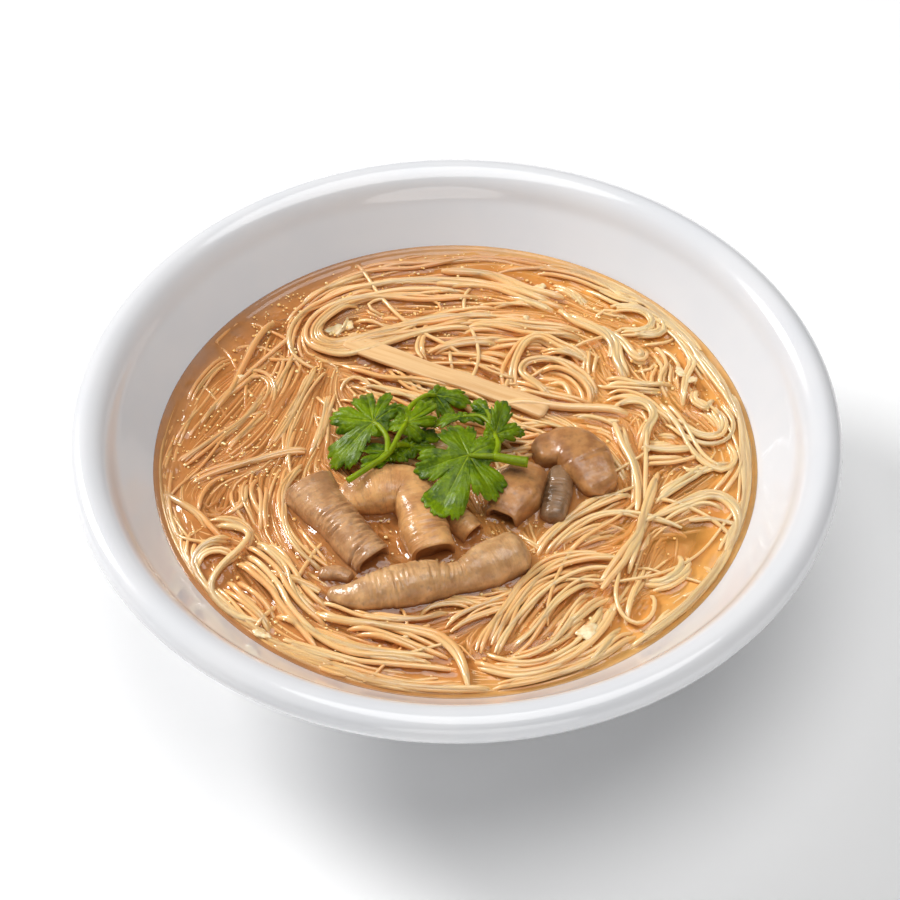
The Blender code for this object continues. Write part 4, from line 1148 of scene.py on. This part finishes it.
def swept_piece(name, strands, tree, sides_socket, sides):
    """One mesh that holds every strand of a group."""
    points, edges, radii, tones = [], [], [], []
    for path, radius, tone in strands:
        first = len(points)
        points += (path * MM).tolist()
        edges += [(k, k + 1) for k in range(first, len(points) - 1)]
        run = np.concatenate([[0], np.cumsum(np.linalg.norm(np.diff(path, axis=0), axis=1))])
        from_end = np.minimum(run, run[-1] - run)
        radii += (radius * MM * (0.55 + 0.45 * np.clip(from_end / 2.0, 0, 1))).tolist()
        tones += [tone] * len(path)
    mesh = bpy.data.meshes.new(name)
    mesh.from_pydata(points, edges, [])
    for key, values in (("radius", radii), ("tone", tones)):
        mesh.attributes.new(key, "FLOAT", "POINT").data.foreach_set("value", values)
    return noded(name, mesh, tree, sides_socket, sides)


# %% [markdown]
# ## The look of a noodle
#
# A cooked wheat noodle is pale, slightly see-through and wet. Light goes into it, which the subsurface
# share stands for, and the clear coat is the broth on it. It is darker where it is damp and amber where
# it is under the broth. Painted shade darkens the strands at the left and at the back, where the lip
# shades them, and painted light makes them paler at the right.

# %% The look of a noodle


def noodle_finish():
    dough = Finish("wheat_noodle")
    tone = dough.attribute("tone")
    colour = dough.mix(tone, tint(250, 186, 116), tint(255, 212, 152))
    patches = dough.span(dough.noise(9, detail=2.0), 0.35, 0.7, 0.0, 0.35)
    colour = dough.mix(patches, colour, tint(238, 172, 104))
    level = BROTH_LEVEL * MM
    damp = dough.span(dough.height(), level - 0.2 * MM, level + 1.6 * MM, 0.35, 0.0)
    colour = dough.mix(damp, colour, tint(238, 168, 92))
    sunk = dough.span(dough.height(), level - 4.5 * MM, level + 0.2 * MM, 1.0, 0.0)
    colour = dough.mix(sunk, colour, tint(230, 156, 78))
    # Painted shade: the strands at the left, apart from the lower left, are darker, where the lip shades the
    # heap.
    spot = dough.add("SeparateXYZ", {0: dough.place}).outputs
    darkening = dough.mix(dough.span(spot["Y"], -0.034, -0.006), colour, tint(214, 146, 80))
    colour = dough.mix(dough.span(spot["X"], -0.07, -0.02, 0.65, 0.0), colour, darkening)
    # Painted light: the strands at the right are paler.
    colour = dough.mix(dough.span(spot["X"], 0.01, 0.055, 0.0, 0.5), colour, tint(255, 216, 156))
    # Painted shade: the strands at the back, under the back lip, are darker.
    colour = dough.mix(dough.span(spot["Y"], 0.062, 0.078, 0.0, 0.8), colour, tint(204, 142, 84))
    return dough.done(
        Base_Color=colour, Roughness=0.3, Coat_Weight=1.0, Coat_Roughness=0.08,
        Subsurface_Weight=0.35, Subsurface_Scale=0.0013, Subsurface_Radius=(1.0, 0.72, 0.5),
    )


# %% The noodles, group by group
noodle_look = noodle_finish()
tree, sides_socket = sweep_tree(noodle_look, 6)
for side, strands in laid.items():
    if side == "filling":  # short and mostly sunk, so every second point is enough
        strands = [(np.vstack([path[:-1:2], path[-1:]]), radius, tone) for path, radius, tone in strands]
    sides = 6 if side in ("left", "right") else 4
    piece = swept_piece(f"noodles_{side}", strands, tree, sides_socket, sides)
    print(side, len(strands), "strands")
    attach(piece, "noodle", "noodles")

# %% [markdown]
# ## What lies under them
#
# The middle of the heap is never seen, so a plain lumpy core stands for it. It fills the bowl from
# below up to a few millimetres under the broth, so that light can't fall through between the strands.

# %% The core
CORE_SIDES = 128
CORE_UNDERSIDE = ((8, 16.5), (35, 19.5), (53, 26), (66, 32), (72, 35))  # radius and height


def core_rings():
    angle = np.linspace(0, 2 * np.pi, CORE_SIDES, endpoint=False)
    ridge = 1 + 0.02 * np.sin(3 * angle) + 0.015 * np.sin(7 * angle + 1)
    rows = [(reach, np.full(CORE_SIDES, z)) for reach, z in CORE_UNDERSIDE]
    for reach in np.linspace(73, 3, 36):
        x, y = reach * ridge * np.cos(angle), reach * ridge * np.sin(angle)
        z = np.minimum(-drop[cell_of(x, y)] - 0.5, BROTH_LEVEL - 3.5)
        rows.append((reach, np.maximum(z, 35.2)))
    rings = [np.column_stack([r * ridge * np.cos(angle), r * ridge * np.sin(angle), z]) for r, z in rows]
    return np.array(rings)


core_points, core_faces = loft(core_rings())
plain_tone = np.full(len(core_points), 0.3)
core = mesh_piece("noodle_core", core_points, core_faces, noodle_look, tone=plain_tone)
attach(core, "noodle", "noodles")

# %% [markdown]
# ## The broth
#
# The broth is thickened and a little cloudy. Its surface climbs slightly where it meets the bowl, and
# round every strand that breaks it. Over the heap it is a thin layer, so the shader lets the strands
# just below it show. Near the wall it is deep and covers more. Round the toppings it is murkier, and
# darker as painted shade where they shade it. Painted light makes it paler at the right, and painted
# shade makes it darker at the left, where the lip shades it, most of all next to the wall.

# %% The body of broth
BROTH_SIDES, BROTH_RINGS = 420, 215


def broth_rings():
    """The broth climbs a little round every strand that breaks its surface, and at the bowl."""
    angle = np.linspace(0, 2 * np.pi, BROTH_SIDES, endpoint=False)
    edge = wall_radius(BROTH_LEVEL)
    wetted = soften(np.clip(top - BROTH_LEVEL, -0.6, 1.4), 0.5)
    rows = [(r, off_wall(r, 0.15)[1]) for r in (0.5, 20, 40, 55, 66, 74, 79, edge)]
    rows += [(wall_radius(BROTH_LEVEL + 0.5) + 0.1, BROTH_LEVEL + 0.5)]
    for inward in (0.2, 0.5, 0.9, 1.4, 2.0):
        rows.append((edge - inward, BROTH_LEVEL + 0.5 * math.exp(-inward / 0.8)))
    rings = [(r, np.full(BROTH_SIDES, z)) for r, z in rows]
    for reach in np.linspace(edge - 2.5, 1, BROTH_RINGS):
        x, y = reach * np.cos(angle), reach * np.sin(angle)
        patch = np.sin(x / 6.1 + 1.2 * np.sin(y / 7.3)) * np.sin(y / 5.2 + 1.4 * np.sin(x / 8.9))
        film = 0.55 * np.clip(patch + 0.1, 0, 1) * (top[cell_of(x, y)] > BROTH_LEVEL - 0.6)
        rings.append((reach, BROTH_LEVEL + 0.62 * wetted[cell_of(x, y)] + film))
    return np.array([np.column_stack([r * np.cos(angle), r * np.sin(angle), z]) for r, z in rings])


# %% The look of the broth: how far it covers what is below, and its colour


def broth_finish():
    broth = Finish("amber_broth")
    x_y = broth.add("VectorMath", {0: broth.place, 1: (1.0, 1.0, 0.0)}, operation="MULTIPLY").outputs[0]
    reach = broth.add("VectorMath", {0: x_y}, operation="LENGTH").outputs["Value"]
    deep = broth.span(reach, 0.0765, 0.0825, 0.86, 0.72)
    clear = broth.span(reach, 0.069, 0.0765, 0.46, 1.0)
    cover = broth.add("Math", {0: deep, 1: clear}, operation="MULTIPLY").outputs[0]
    cloud = broth.span(broth.noise(6, detail=3.0), 0.3, 0.7, 0.85, 1.1)
    cover = broth.add("Math", {0: cover, 1: cloud}, operation="MULTIPLY", use_clamp=True).outputs[0]
    # Near the toppings the broth covers more, being murkier, and its colour darkens as painted shade where
    # they shade it.
    murk = broth.attribute("murk")
    murky = {0: cover, 1: broth.span(murk, 0.05, 0.5, 0.0, 0.36)}
    cover = broth.add("Math", murky, operation="ADD", use_clamp=True).outputs[0]
    # Painted light and shade: the broth is paler at the right and darker at the left, where the lip shades
    # it.
    painted_light_east = broth.span(broth.add("SeparateXYZ", {0: broth.place}).outputs["X"], -0.045, 0.05)
    amber = broth.mix(painted_light_east, tint(222, 148, 80), tint(254, 180, 88))
    darker = broth.mix(painted_light_east, tint(206, 132, 66), tint(242, 156, 66))
    # Next to the wall: painted shade and a painted reflection of the pale wall at the left, painted light at
    # the right.
    painted_edge_tone = broth.mix(painted_light_east, tint(196, 136, 84), tint(248, 192, 112))
    colour = broth.mix(broth.span(broth.noise(14), 0.3, 0.7), amber, darker)
    # Painted shade round the toppings, mixed with the murk.
    colour = broth.mix(broth.span(murk, 0.05, 0.6, 0.0, 0.8), colour, tint(186, 124, 72))
    colour = broth.mix(broth.span(reach, 0.072, 0.081, 0.0, 0.85), colour, painted_edge_tone)
    ripple = broth.bump(broth.noise(5, detail=2.0), 0.12, 0.4)
    return broth.done(Base_Color=colour, Roughness=0.05, Alpha=cover, Normal=ripple, Specular_IOR_Level=0.8)


broth_points, broth_faces = loft(broth_rings())
# How near each point is to a topping, for the murk and the painted shade round the toppings.
shaded = soften((lid > 0).astype(float), 2.2)[cell_of(broth_points[:, 0], broth_points[:, 1])]
broth = mesh_piece("clear_broth", broth_points, broth_faces, broth_finish(), murk=shaded)
attach(broth, "broth", "broth")

# %% [markdown]
# ## Coriander
#
# A coriander blade is divided into lobes, each with a few blunt teeth, and a vein runs up every lobe.
# The blade is modelled as rings round the point where the veins meet. Its edge follows the lobes, the
# veins are pressed in, and the whole blade is laid over whatever is under it.

# %% Blades and stalks
# Blade: where the veins meet, tilt in degrees, cupping, and lobes as (direction, length, half-angle).
# Stalk: its radius, then the places it runs through, where a whole number is the middle of that blade.
LEAVES = {
    "sprig_right": (
        ((3.6, -10.0, 12.0), (8, 4), 0.010,
         ((112, 11.2, 34), (30, 8.8, 34), (300, 13.6, 24), (246, 20.4, 22), (197, 14.0, 20))),
        ((10.8, -1.6, 11.0), (28, 14), 0.02, ((78, 10.0, 26), (26, 6.8, 26), (130, 3.4, 22))),
        ((2.4, 6.8, 9.2), (-14, 0), 0.03, ((182, 8.0, 24), (6, 7.4, 24), (95, 3.0, 34))),
        ((8.6, 9.6, 8.4), (-8, 0), 0.02, ((126, 5.4, 30), (306, 3.4, 30))),
        ((14.8, 3.4, 8.6), (0, 10), 0.02, ((338, 4.2, 34), (158, 3.4, 30))),
    ),
    "sprig_left": (
        ((-22.5, 5.0, 8.8), (6, -8), 0.014,
         ((101, 12.8, 20), (72, 11.0, 14), (34, 9.0, 18), (164, 12.0, 26), (221, 15.5, 22))),
        ((-13.5, 3.5, 10.0), (18, 10), 0.018,
         ((44, 11.0, 26), (18, 8.0, 16), (326, 6.0, 30), (96, 5.2, 30), (200, 4.2, 30))),
        ((-5.5, 17.0, 6.6), (6, 0), 0.02, ((350, 8.8, 26), (303, 7.4, 24), (64, 4.2, 30), (236, 5.0, 30))),
        ((-17.0, -3.2, 6.0), (0, 8), 0.01, ((218, 10.0, 26), (180, 8.0, 24), (320, 4.6, 34))),
        ((-12.8, -1.6, 6.4), (4, 6), 0.01, ((34, 10.0, 20), (6, 6.6, 22), (286, 3.8, 30))),
    ),
}
STALKS = {
    "sprig_right": (
        (1.4, ((19.6, -11.4, 10.6), (14.8, -10.9, 11.2), (10.4, -10.2, 11.8))),
        (0.8, ((10.8, -10.2, 11.8), (7.0, -10.4, 12.1), 0)),
        (0.8, ((10.8, -10.2, 11.8), (11.6, -6.0, 11.6), 1)),
        (0.7, (1, (9.6, 2.6, 10.6), (6.6, 6.2, 9.8), 2)),
        (0.7, ((9.6, 3.4, 10.4), (9.4, 6.6, 9.4), 3)),
        (0.7, ((10.4, 1.0, 10.6), (12.8, 2.6, 9.6), 4)),
    ),
    "sprig_left": (
        (0.8, ((-29.0, -16.8, 9.2), (-22.6, -11.8, 9.8), (-18.0, -7.4, 10.0), (-15.2, -0.6, 10.2), 1)),
        (0.8, ((-18.4, -7.8, 10.0), (-18.6, -2.0, 9.8), (-20.6, 2.6, 9.4), 0)),
        (0.8, (1, (-12.6, 9.6, 9.4), (-8.4, 15.4, 8.0), 2)),
        (0.8, ((-20.2, -9.8, 9.9), (-18.6, -6.0, 8.2), 3)),
        (0.8, ((-16.2, -4.4, 10.0), (-14.4, -2.8, 8.2), 4)),
    ),
}
print({name: (len(LEAVES[name]), len(STALKS[name])) for name in LEAVES}, "blades and stalks")

# %% The edge of a blade: thickness, how many points and rings it has, and how long a tooth is
LEAF_THICKNESS = 0.4
BLADE_SIDES, BLADE_RINGS = 300, 13
TOOTH = 1.9


def blade_edge(lobes, angle):
    """Reach of the edge in every direction without and with its teeth, and how near the next vein is."""
    plain = np.full(len(angle), 0.3 * max(length for _, length, _ in lobes))
    reach = plain.copy()
    nearest, widest = np.full(len(angle), 1e9), np.full(len(angle), 30.0)  # nothing found yet
    lobes = sorted(lobes)
    for before, (direction, length, half), after in zip(lobes[-1:] + lobes, lobes, lobes[1:] + lobes[:1]):
        off = (np.degrees(angle) - direction + 180) % 360 - 180
        gap = np.where(off < 0, (direction - before[0]) % 360, (after[0] - direction) % 360)
        room = np.minimum(0.5 * gap, 1.5 * half)
        t = np.abs(off) / room
        arc = np.radians(off) * length
        arc = arc + 0.5 * np.sin(arc * 0.9 + direction)
        teeth = 1.15 * np.abs(np.cos(np.pi * arc / TOOTH)) ** 0.8 - 0.6
        parts = 1.9 * np.abs(np.cos(np.pi * arc / (3.1 * TOOTH))) ** 0.6 - 1.2
        fan = length * (1 - 0.3 * np.clip(t, 0, 1) ** 2.4)
        notch = (0.6 + 0.4 * np.clip((1.0 - t) / 0.13, 0, 1) ** 0.6) * (t < 1.25)
        plain = np.maximum(plain, fan * notch)
        reach = np.maximum(reach, (fan + (teeth + parts) * min(1, length / 8)) * notch)
        closer = np.abs(off) < nearest
        nearest, widest = np.where(closer, np.abs(off), nearest), np.where(closer, room, widest)
    return plain, reach, nearest, widest


# %% Resting a leaf on what is under it


def height_under(x, y):
    """The top of the heap and the toppings in a small patch round each place."""
    high = np.full(np.shape(x), -1e9)
    for dx in (-0.8, 0, 0.8):
        for dy in (-0.8, 0, 0.8):
            high = np.maximum(high, top[cell_of(x + dx, y + dy)])
    return high


def tilted(points, pitch, roll):
    """Points turned about the X axis, then about the Y axis, in degrees."""
    pitch, roll = math.radians(pitch), math.radians(roll)
    x, y, z = points.T
    y, z = y * math.cos(pitch) - z * math.sin(pitch), y * math.sin(pitch) + z * math.cos(pitch)
    x, z = x * math.cos(roll) + z * math.sin(roll), -x * math.sin(roll) + z * math.cos(roll)
    return np.column_stack([x, y, z])


# %% One blade


def blade(centre, tilt, cup, lobes, seed):
    """Points, faces and vein share of one blade, as a thin closed skin."""
    angle = np.linspace(0, 2 * np.pi, BLADE_SIDES, endpoint=False)
    plain, toothed, off_vein, room = blade_edge(lobes, angle)
    rows, veins = [], []
    for share in np.linspace(0.04, 1, BLADE_RINGS) ** 0.9:
        r = share * (plain + (toothed - plain) * share**5)
        x, y = r * np.cos(angle), r * np.sin(angle)
        wave = 0.5 * share * np.sin(0.5 * x + seed) * np.sin(0.55 * y + 2 * seed)
        wave = 0.09 * r * np.sin(3 * angle + seed) + wave
        from_vein = r * np.radians(off_vein)
        vein = np.exp(-((from_vein / 0.26) ** 2)) * (1 - 0.6 * share)
        slant = r - 1.5 * from_vein
        side_vein = np.exp(-((np.sin(slant * np.pi / 3.4) / 0.22) ** 2)) * np.clip(from_vein / 0.8, 0, 1)
        side_vein = side_vein * (1 - 0.4 * share)
        fold = np.sin(np.pi * np.clip(off_vein / room, 0, 1))
        puff = 0.045 * r * fold + 0.13 * (1 - side_vein) * np.clip(from_vein / 1.2, 0, 1)
        crinkle = 0.15 * np.sin(3.1 * x + 1.3 * np.sin(1.7 * y + seed))
        crinkle = crinkle * np.sin(2.8 * y + 1.1 * np.sin(2.1 * x))
        curl = -0.9 * np.clip((share - 0.72) / 0.28, 0, 1) ** 2 * (0.6 + 0.4 * np.sin(4 * angle + seed))
        rows.append(np.column_stack([x, y, wave + puff + crinkle + curl - 0.12 * vein - cup * r**2]))
        veins.append(np.maximum(vein, 0.4 * side_vein))
    sheet = np.array(rows)
    shape = sheet.shape
    placed = tilted(sheet.reshape(-1, 3), *tilt) + np.array(centre) + (0, 0, BROTH_LEVEL)
    placed[:, 2] = np.maximum(placed[:, 2], height_under(placed[:, 0], placed[:, 1]) + 0.35)
    upper = placed.reshape(shape)
    rim = np.clip((np.linspace(0, 1, BLADE_RINGS) - 0.86) / 0.14, 0, 1)[:, None]
    lower = upper - np.array([0, 0, 1]) * (LEAF_THICKNESS * (1 - 0.6 * rim))[..., None]
    rings = np.concatenate([upper, lower[::-1]])
    vein = np.concatenate([np.array(veins), np.array(veins)[::-1]]).reshape(-1)
    points, faces = loft(rings)
    return points, faces, np.concatenate([vein, [1.0, 1.0]])


# %% One stalk


def stalk_piece(places, radius):
    """Points and faces of one stalk, thicker at the cut end."""
    middle = route(places, 0.7)
    under = height_under(middle[:, 0], middle[:, 1]) + radius + 0.1
    middle[:, 2] = np.maximum(middle[:, 2], under)
    middle[:, 2] = np.convolve(np.pad(middle[:, 2], 2, mode="edge"), np.ones(5) / 5, mode="valid")
    along = np.gradient(middle, axis=0)
    along /= np.linalg.norm(along, axis=1)[:, None]
    side = np.cross(along, (0, 0, 1.0))
    side /= np.linalg.norm(side, axis=1)[:, None]
    upward = np.cross(side, along)
    angle = np.linspace(0, 2 * np.pi, 16, endpoint=False)
    ribs = 1 + 0.06 * np.cos(5 * angle)
    taper = np.linspace(1.08, 0.82, len(middle))
    rings = []
    for c, s, u, t in zip(middle, side, upward, taper):
        wide, high = radius * t * ribs * np.cos(angle), radius * t * ribs * np.sin(angle)
        rings.append(c + s * wide[:, None] + u * high[:, None])
    return loft(np.array(rings))


# %% [markdown]
# ## The look of the leaves
#
# A leaf is darker and lighter green in large patches, brighter where it is thin and along its veins. It
# is dry on top, so its coat is weak, but light shines through it, which the subsurface share stands for.

# %% The look of the leaves


def leaf_finish():
    leaf = Finish("coriander_leaf")
    colour = leaf.mix(leaf.span(leaf.noise(7.0, detail=3.0), 0.35, 0.68), tint(110, 136, 0), tint(52, 80, 0))
    thin = leaf.span(leaf.noise(1.1, detail=2.0), 0.45, 0.75, 0.0, 0.35)
    colour = leaf.mix(thin, colour, tint(150, 174, 0))
    veined = leaf.span(leaf.attribute("vein"), 0.3, 1.0, 0.0, 0.55)
    colour = leaf.mix(veined, colour, tint(166, 184, 14))
    grain = leaf.bump(leaf.noise(0.8, detail=4.0), 0.3, 0.8)
    return leaf.done(
        Base_Color=colour, Roughness=0.36, Normal=grain, Specular_IOR_Level=0.18,
        Coat_Weight=0.12, Coat_Roughness=0.16,
        Subsurface_Weight=0.15, Subsurface_Scale=0.0008, Subsurface_Radius=(0.4, 1.0, 0.2),
    )


# %% A sprig: its blades and stalks in one mesh


def joined(parts):
    """Points and faces of several meshes in one."""
    points, faces = [], []
    for part_points, part_faces in parts:
        first = sum(map(len, points))
        points.append(part_points)
        faces += [tuple(i + first for i in face) for face in part_faces]
    return np.vstack(points), faces


def sprig(name, finish):
    over = np.array((0, 0, BROTH_LEVEL))
    middles = [np.array(leaf[0]) + over for leaf in LEAVES[name]]
    for spot in middles:
        spot[2] = max(spot[2], float(height_under(spot[0:1], spot[1:2])[0]) + 0.3)
    parts = [blade(*leaf, seed) for seed, leaf in enumerate(LEAVES[name])]
    for radius, places in STALKS[name]:
        spots = [middles[p] - (0, 0, 0.3) if isinstance(p, int) else np.array(p) + over for p in places]
        stalk_points, stalk_faces = stalk_piece(spots, radius)
        parts.append((stalk_points, stalk_faces, np.full(len(stalk_points), 0.75)))
    points, faces = joined([part[:2] for part in parts])
    veins = np.concatenate([part[2] for part in parts])
    return mesh_piece("coriander_" + name, points, faces, finish, vein=veins)


coriander = leaf_finish()
for name in LEAVES:
    attach(sprig(name, coriander), "coriander", name)

# %% [markdown]
# ## Drops of oil
#
# Fine drops of oil float on the broth and cling to the wet strands. They glint, and give the bowl its
# sparkle. They are one kind of thing at many places, so Geometry Nodes sets a small flattened ball on
# every point, with the point's own size.

# %% Where the drops are: middle, reach, number
DROPS = (
    (0, 0, 78, 1150), (-10, 70, 26, 340), (40, 55, 26, 360), (-45, 45, 20, 220), (0, -30, 28, 340),
    (60, 10, 20, 200), (-62, 5, 20, 200), (-20, 48, 18, 180), (-40, -55, 26, 260), (30, -60, 24, 160),
)
DROP_SEED = 7
DROPS_REACH = 79.5
BIGGEST_DROP = 0.6


def drop_places():
    """Places on top of the heap or the broth, and a size for each. None lies on a topping."""
    draw.seed(DROP_SEED)
    places, sizes = [], []
    for x, y, reach, count in DROPS:
        for _ in range(count):
            turn, away = draw.uniform(0, 6.28), reach * math.sqrt(draw.random())
            spot = np.array([[x + away * math.cos(turn), y + away * math.sin(turn)]])
            if np.hypot(*spot[0]) > DROPS_REACH:
                continue
            size = min(BIGGEST_DROP, 0.17 + draw.expovariate(8))
            cells = cell_of(spot[:, 0], spot[:, 1])
            if lid[cells][0] > 0:
                continue
            level = max(float(top[cells][0]) + 0.02, BROTH_LEVEL + 0.3)
            places.append((*spot[0], level))
            sizes.append(size)
    return places, sizes


# %% The scatter as a node tree, and the look of oil


def drop_tree(finish):
    tree, swell = node_tree(
        "scatter_drops", ("Swell", "NodeSocketFloat", 1.0), finish,
        (("points", "GeometryNodeMeshToPoints"), ("ball", "GeometryNodeMeshUVSphere"),
         ("flat", "GeometryNodeTransform"), ("size", "GeometryNodeInputNamedAttribute"),
         ("times", "ShaderNodeMath"), ("put", "GeometryNodeInstanceOnPoints")),
        (("ball", "Segments", 8), ("ball", "Rings", 5), ("ball", "Radius", 1.0),
         ("flat", "Scale", (1.0, 1.0, 0.55)), ("size", "Name", "size")),
        (("in", "Geometry", "points", "Mesh"), ("points", "Points", "put", "Points"),
         ("ball", "Mesh", "flat", "Geometry"), ("flat", "Geometry", "put", "Instance"),
         ("size", "Attribute", "times", 0), ("in", "Swell", "times", 1), ("times", 0, "put", "Scale"),
         ("put", "Instances", "smooth", "Geometry")),
    )
    tree.nodes["Math"].operation = "MULTIPLY"
    return tree, swell


def oil_finish():
    oil = Finish("golden_oil")
    colour = oil.mix(oil.span(oil.noise(2.0), 0.4, 0.6), tint(255, 228, 160), tint(255, 196, 104))
    return oil.done(
        Base_Color=colour, Roughness=0.12, Specular_IOR_Level=0.8, Coat_Weight=1.0, Coat_Roughness=0.05
    )


# %% The drops
places, sizes = drop_places()
dots = bpy.data.meshes.new("oil_drops")
dots.from_pydata([tuple(c * MM for c in place) for place in places], [], [])
dots.attributes.new("size", "FLOAT", "POINT").data.foreach_set("value", [size * MM for size in sizes])
drops_tree, swell_socket = drop_tree(oil_finish())
oil_drops = noded("oil_drops", dots, drops_tree, swell_socket, 1.0)
print(len(places), "drops")
attach(oil_drops, "broth")

# %% [markdown]
# ## Small flakes
#
# A few torn bits of fried garlic lie on the heap, each at its own place. They are too small for a solid
# of their own. Each one is a flat loft with a wavy edge, tilted a little.

# %% Flakes: middle, half-length, half-width, direction in degrees, tilt
FLAKES = (
    (-34.5, 48.5, 2.8, 1.9, 20, 8), (-30.6, 50.2, 1.9, 1.5, 70, -14), (-31.6, 50.8, 2.8, 0.8, 75, 62),
    (64, 29.5, 2.8, 1.6, 120, 16), (66.4, 26.8, 1.9, 1.3, 30, -10), (-50.5, -62.2, 2.6, 1.5, 150, 10),
    (24.6, 65.6, 2.0, 1.4, 10, 14), (34.4, -62.6, 3.2, 2.2, 40, 5), (-60.5, 29.4, 1.3, 0.8, 20, 30),
    (20.5, 52.4, 1.2, 0.8, 70, 20), (44, 12, 1.5, 0.8, 160, 24),
)


# sections from the middle of the upper side, round the edge, to the middle of the lower side
FLAKE_SECTIONS = ((0.3, 0.42), (0.75, 0.4), (0.97, 0.2), (1.0, 0.0), (0.97, -0.2), (0.7, -0.35), (0.3, -0.35))


def flake(x, y, length, width, turn, tilt, seed):
    """A torn flat bit: rings round its middle on the upper side, then back on the lower side."""
    angle = np.linspace(0, 2 * np.pi, 28, endpoint=False)
    edge = 1 + 0.16 * np.sin(3 * angle + seed) + 0.1 * np.sin(7 * angle + 2.3 * seed)
    rings = []
    for share, up in FLAKE_SECTIONS:
        px, py = share * edge * length * np.cos(angle), share * edge * width * np.sin(angle)
        rings.append(np.column_stack([px, py, up + 0.18 * np.sin(1.1 * px + seed)]))
    shape = np.array(rings)
    flat = tilted(shape.reshape(-1, 3), tilt, 0)
    c, n = math.cos(math.radians(turn)), math.sin(math.radians(turn))
    px, py = flat[:, 0] * c - flat[:, 1] * n, flat[:, 0] * n + flat[:, 1] * c
    level = max(float(height_under(np.array([x]), np.array([y]))[0]), BROTH_LEVEL) + 0.1
    return loft(np.column_stack([px + x, py + y, flat[:, 2] + level]).reshape(shape.shape))


def flake_finish():
    crumb = Finish("garlic_flake")
    toasted = crumb.span(crumb.noise(1.2, detail=4.0), 0.35, 0.7)
    colour = crumb.mix(toasted, tint(255, 232, 186), tint(244, 202, 140))
    return crumb.done(
        Base_Color=colour, Roughness=0.3, Normal=crumb.bump(crumb.noise(0.8), 0.15, 0.5),
        Coat_Weight=0.8, Coat_Roughness=0.08,
        Subsurface_Weight=0.2, Subsurface_Scale=0.001, Subsurface_Radius=(1.0, 0.7, 0.4),
    )


points, faces = joined([flake(*numbers, seed) for seed, numbers in enumerate(FLAKES)])
attach(mesh_piece("garlic_flakes", points, faces, flake_finish()), "noodle")

# %% [markdown]
# ## Camera
#
# The photograph looks down into the bowl at about 48 degrees below the horizon, with a long lens. The
# camera's place, turn and lens were fitted to the ellipses of the rim and of the broth's edge.

# %% Camera
camera_data = bpy.data.cameras.new("camera")
camera_data.lens = 110.19
camera_data.sensor_width = 36.0
camera_data.clip_start = 0.01
camera = show("camera", camera_data)
camera.location = (-0.001457, -0.5036, 0.6128)
camera.rotation_euler = (math.radians(41.6597), 0.0, 0.0)
bpy.context.scene.camera = camera
print("camera: lens", round(camera_data.lens, 2), "mm, looks", round(90 - 41.6597, 1), "degrees down")

# %% [markdown]
# ## Light
#
# A big soft window stands at the left and a little behind, so the left wall is in the lip's shade and
# the drops glint on the side that faces it. A large card overhead and one in front fill the shadows.

# %% Light: direction and height in degrees, distance and size in metres, power in watts
LAMPS = {
    "window": (150, 36, 1.6, 0.6, 21),
    "overhead": (0, 84, 1.6, 1.4, 15),
    "front_card": (-84, 8, 1.6, 1.4, 9),
}
AIM = 0.04


def lamp(name, azimuth, elevation, distance, size, power):
    """An area lamp that faces the bowl from that direction."""
    data = bpy.data.lights.new(name, "AREA")
    data.shape = "DISK"
    data.size = size
    data.energy = power
    made = show(name, data)
    flat = distance * math.cos(math.radians(elevation))
    made.location = (
        flat * math.cos(math.radians(azimuth)),
        flat * math.sin(math.radians(azimuth)),
        AIM + distance * math.sin(math.radians(elevation)),
    )
    made.rotation_euler = (Vector((0, 0, AIM)) - made.location).to_track_quat("-Z", "Y").to_euler()
    print(f"{name}: from {azimuth} degrees round and {elevation} up, {power} W")


for name, numbers in LAMPS.items():
    lamp(name, *numbers)

# %% A little light from everywhere
world = bpy.data.worlds.new("studio")
world.use_nodes = True
world.node_tree.nodes["Background"].inputs["Color"].default_value = (1.0, 1.0, 1.0, 1.0)
world.node_tree.nodes["Background"].inputs["Strength"].default_value = 0.12
bpy.context.scene.world = world
bpy.context.scene.view_settings.view_transform = "Standard"

# %% [markdown]
# ## Floor
#
# The bowl stands on white paper that is larger than the view, so nothing but white is seen round it.

# %% Floor
HALF_FLOOR = 3


def floor_finish():
    paper = Finish("white_paper")
    body = paper.mix(paper.noise(40), tint(250, 250, 250), tint(252, 252, 252))
    return paper.done(Base_Color=body, Roughness=0.9)


floor_mesh = bpy.data.meshes.new("floor")
corners = [(x * HALF_FLOOR, y * HALF_FLOOR, 0) for x, y in ((-1, -1), (1, -1), (1, 1), (-1, 1))]
floor_mesh.from_pydata(corners, [], [(0, 1, 2, 3)])
floor_mesh.materials.append(floor_finish())
floor = show("floor", floor_mesh)
print("floor:", 2 * HALF_FLOOR, "m across")
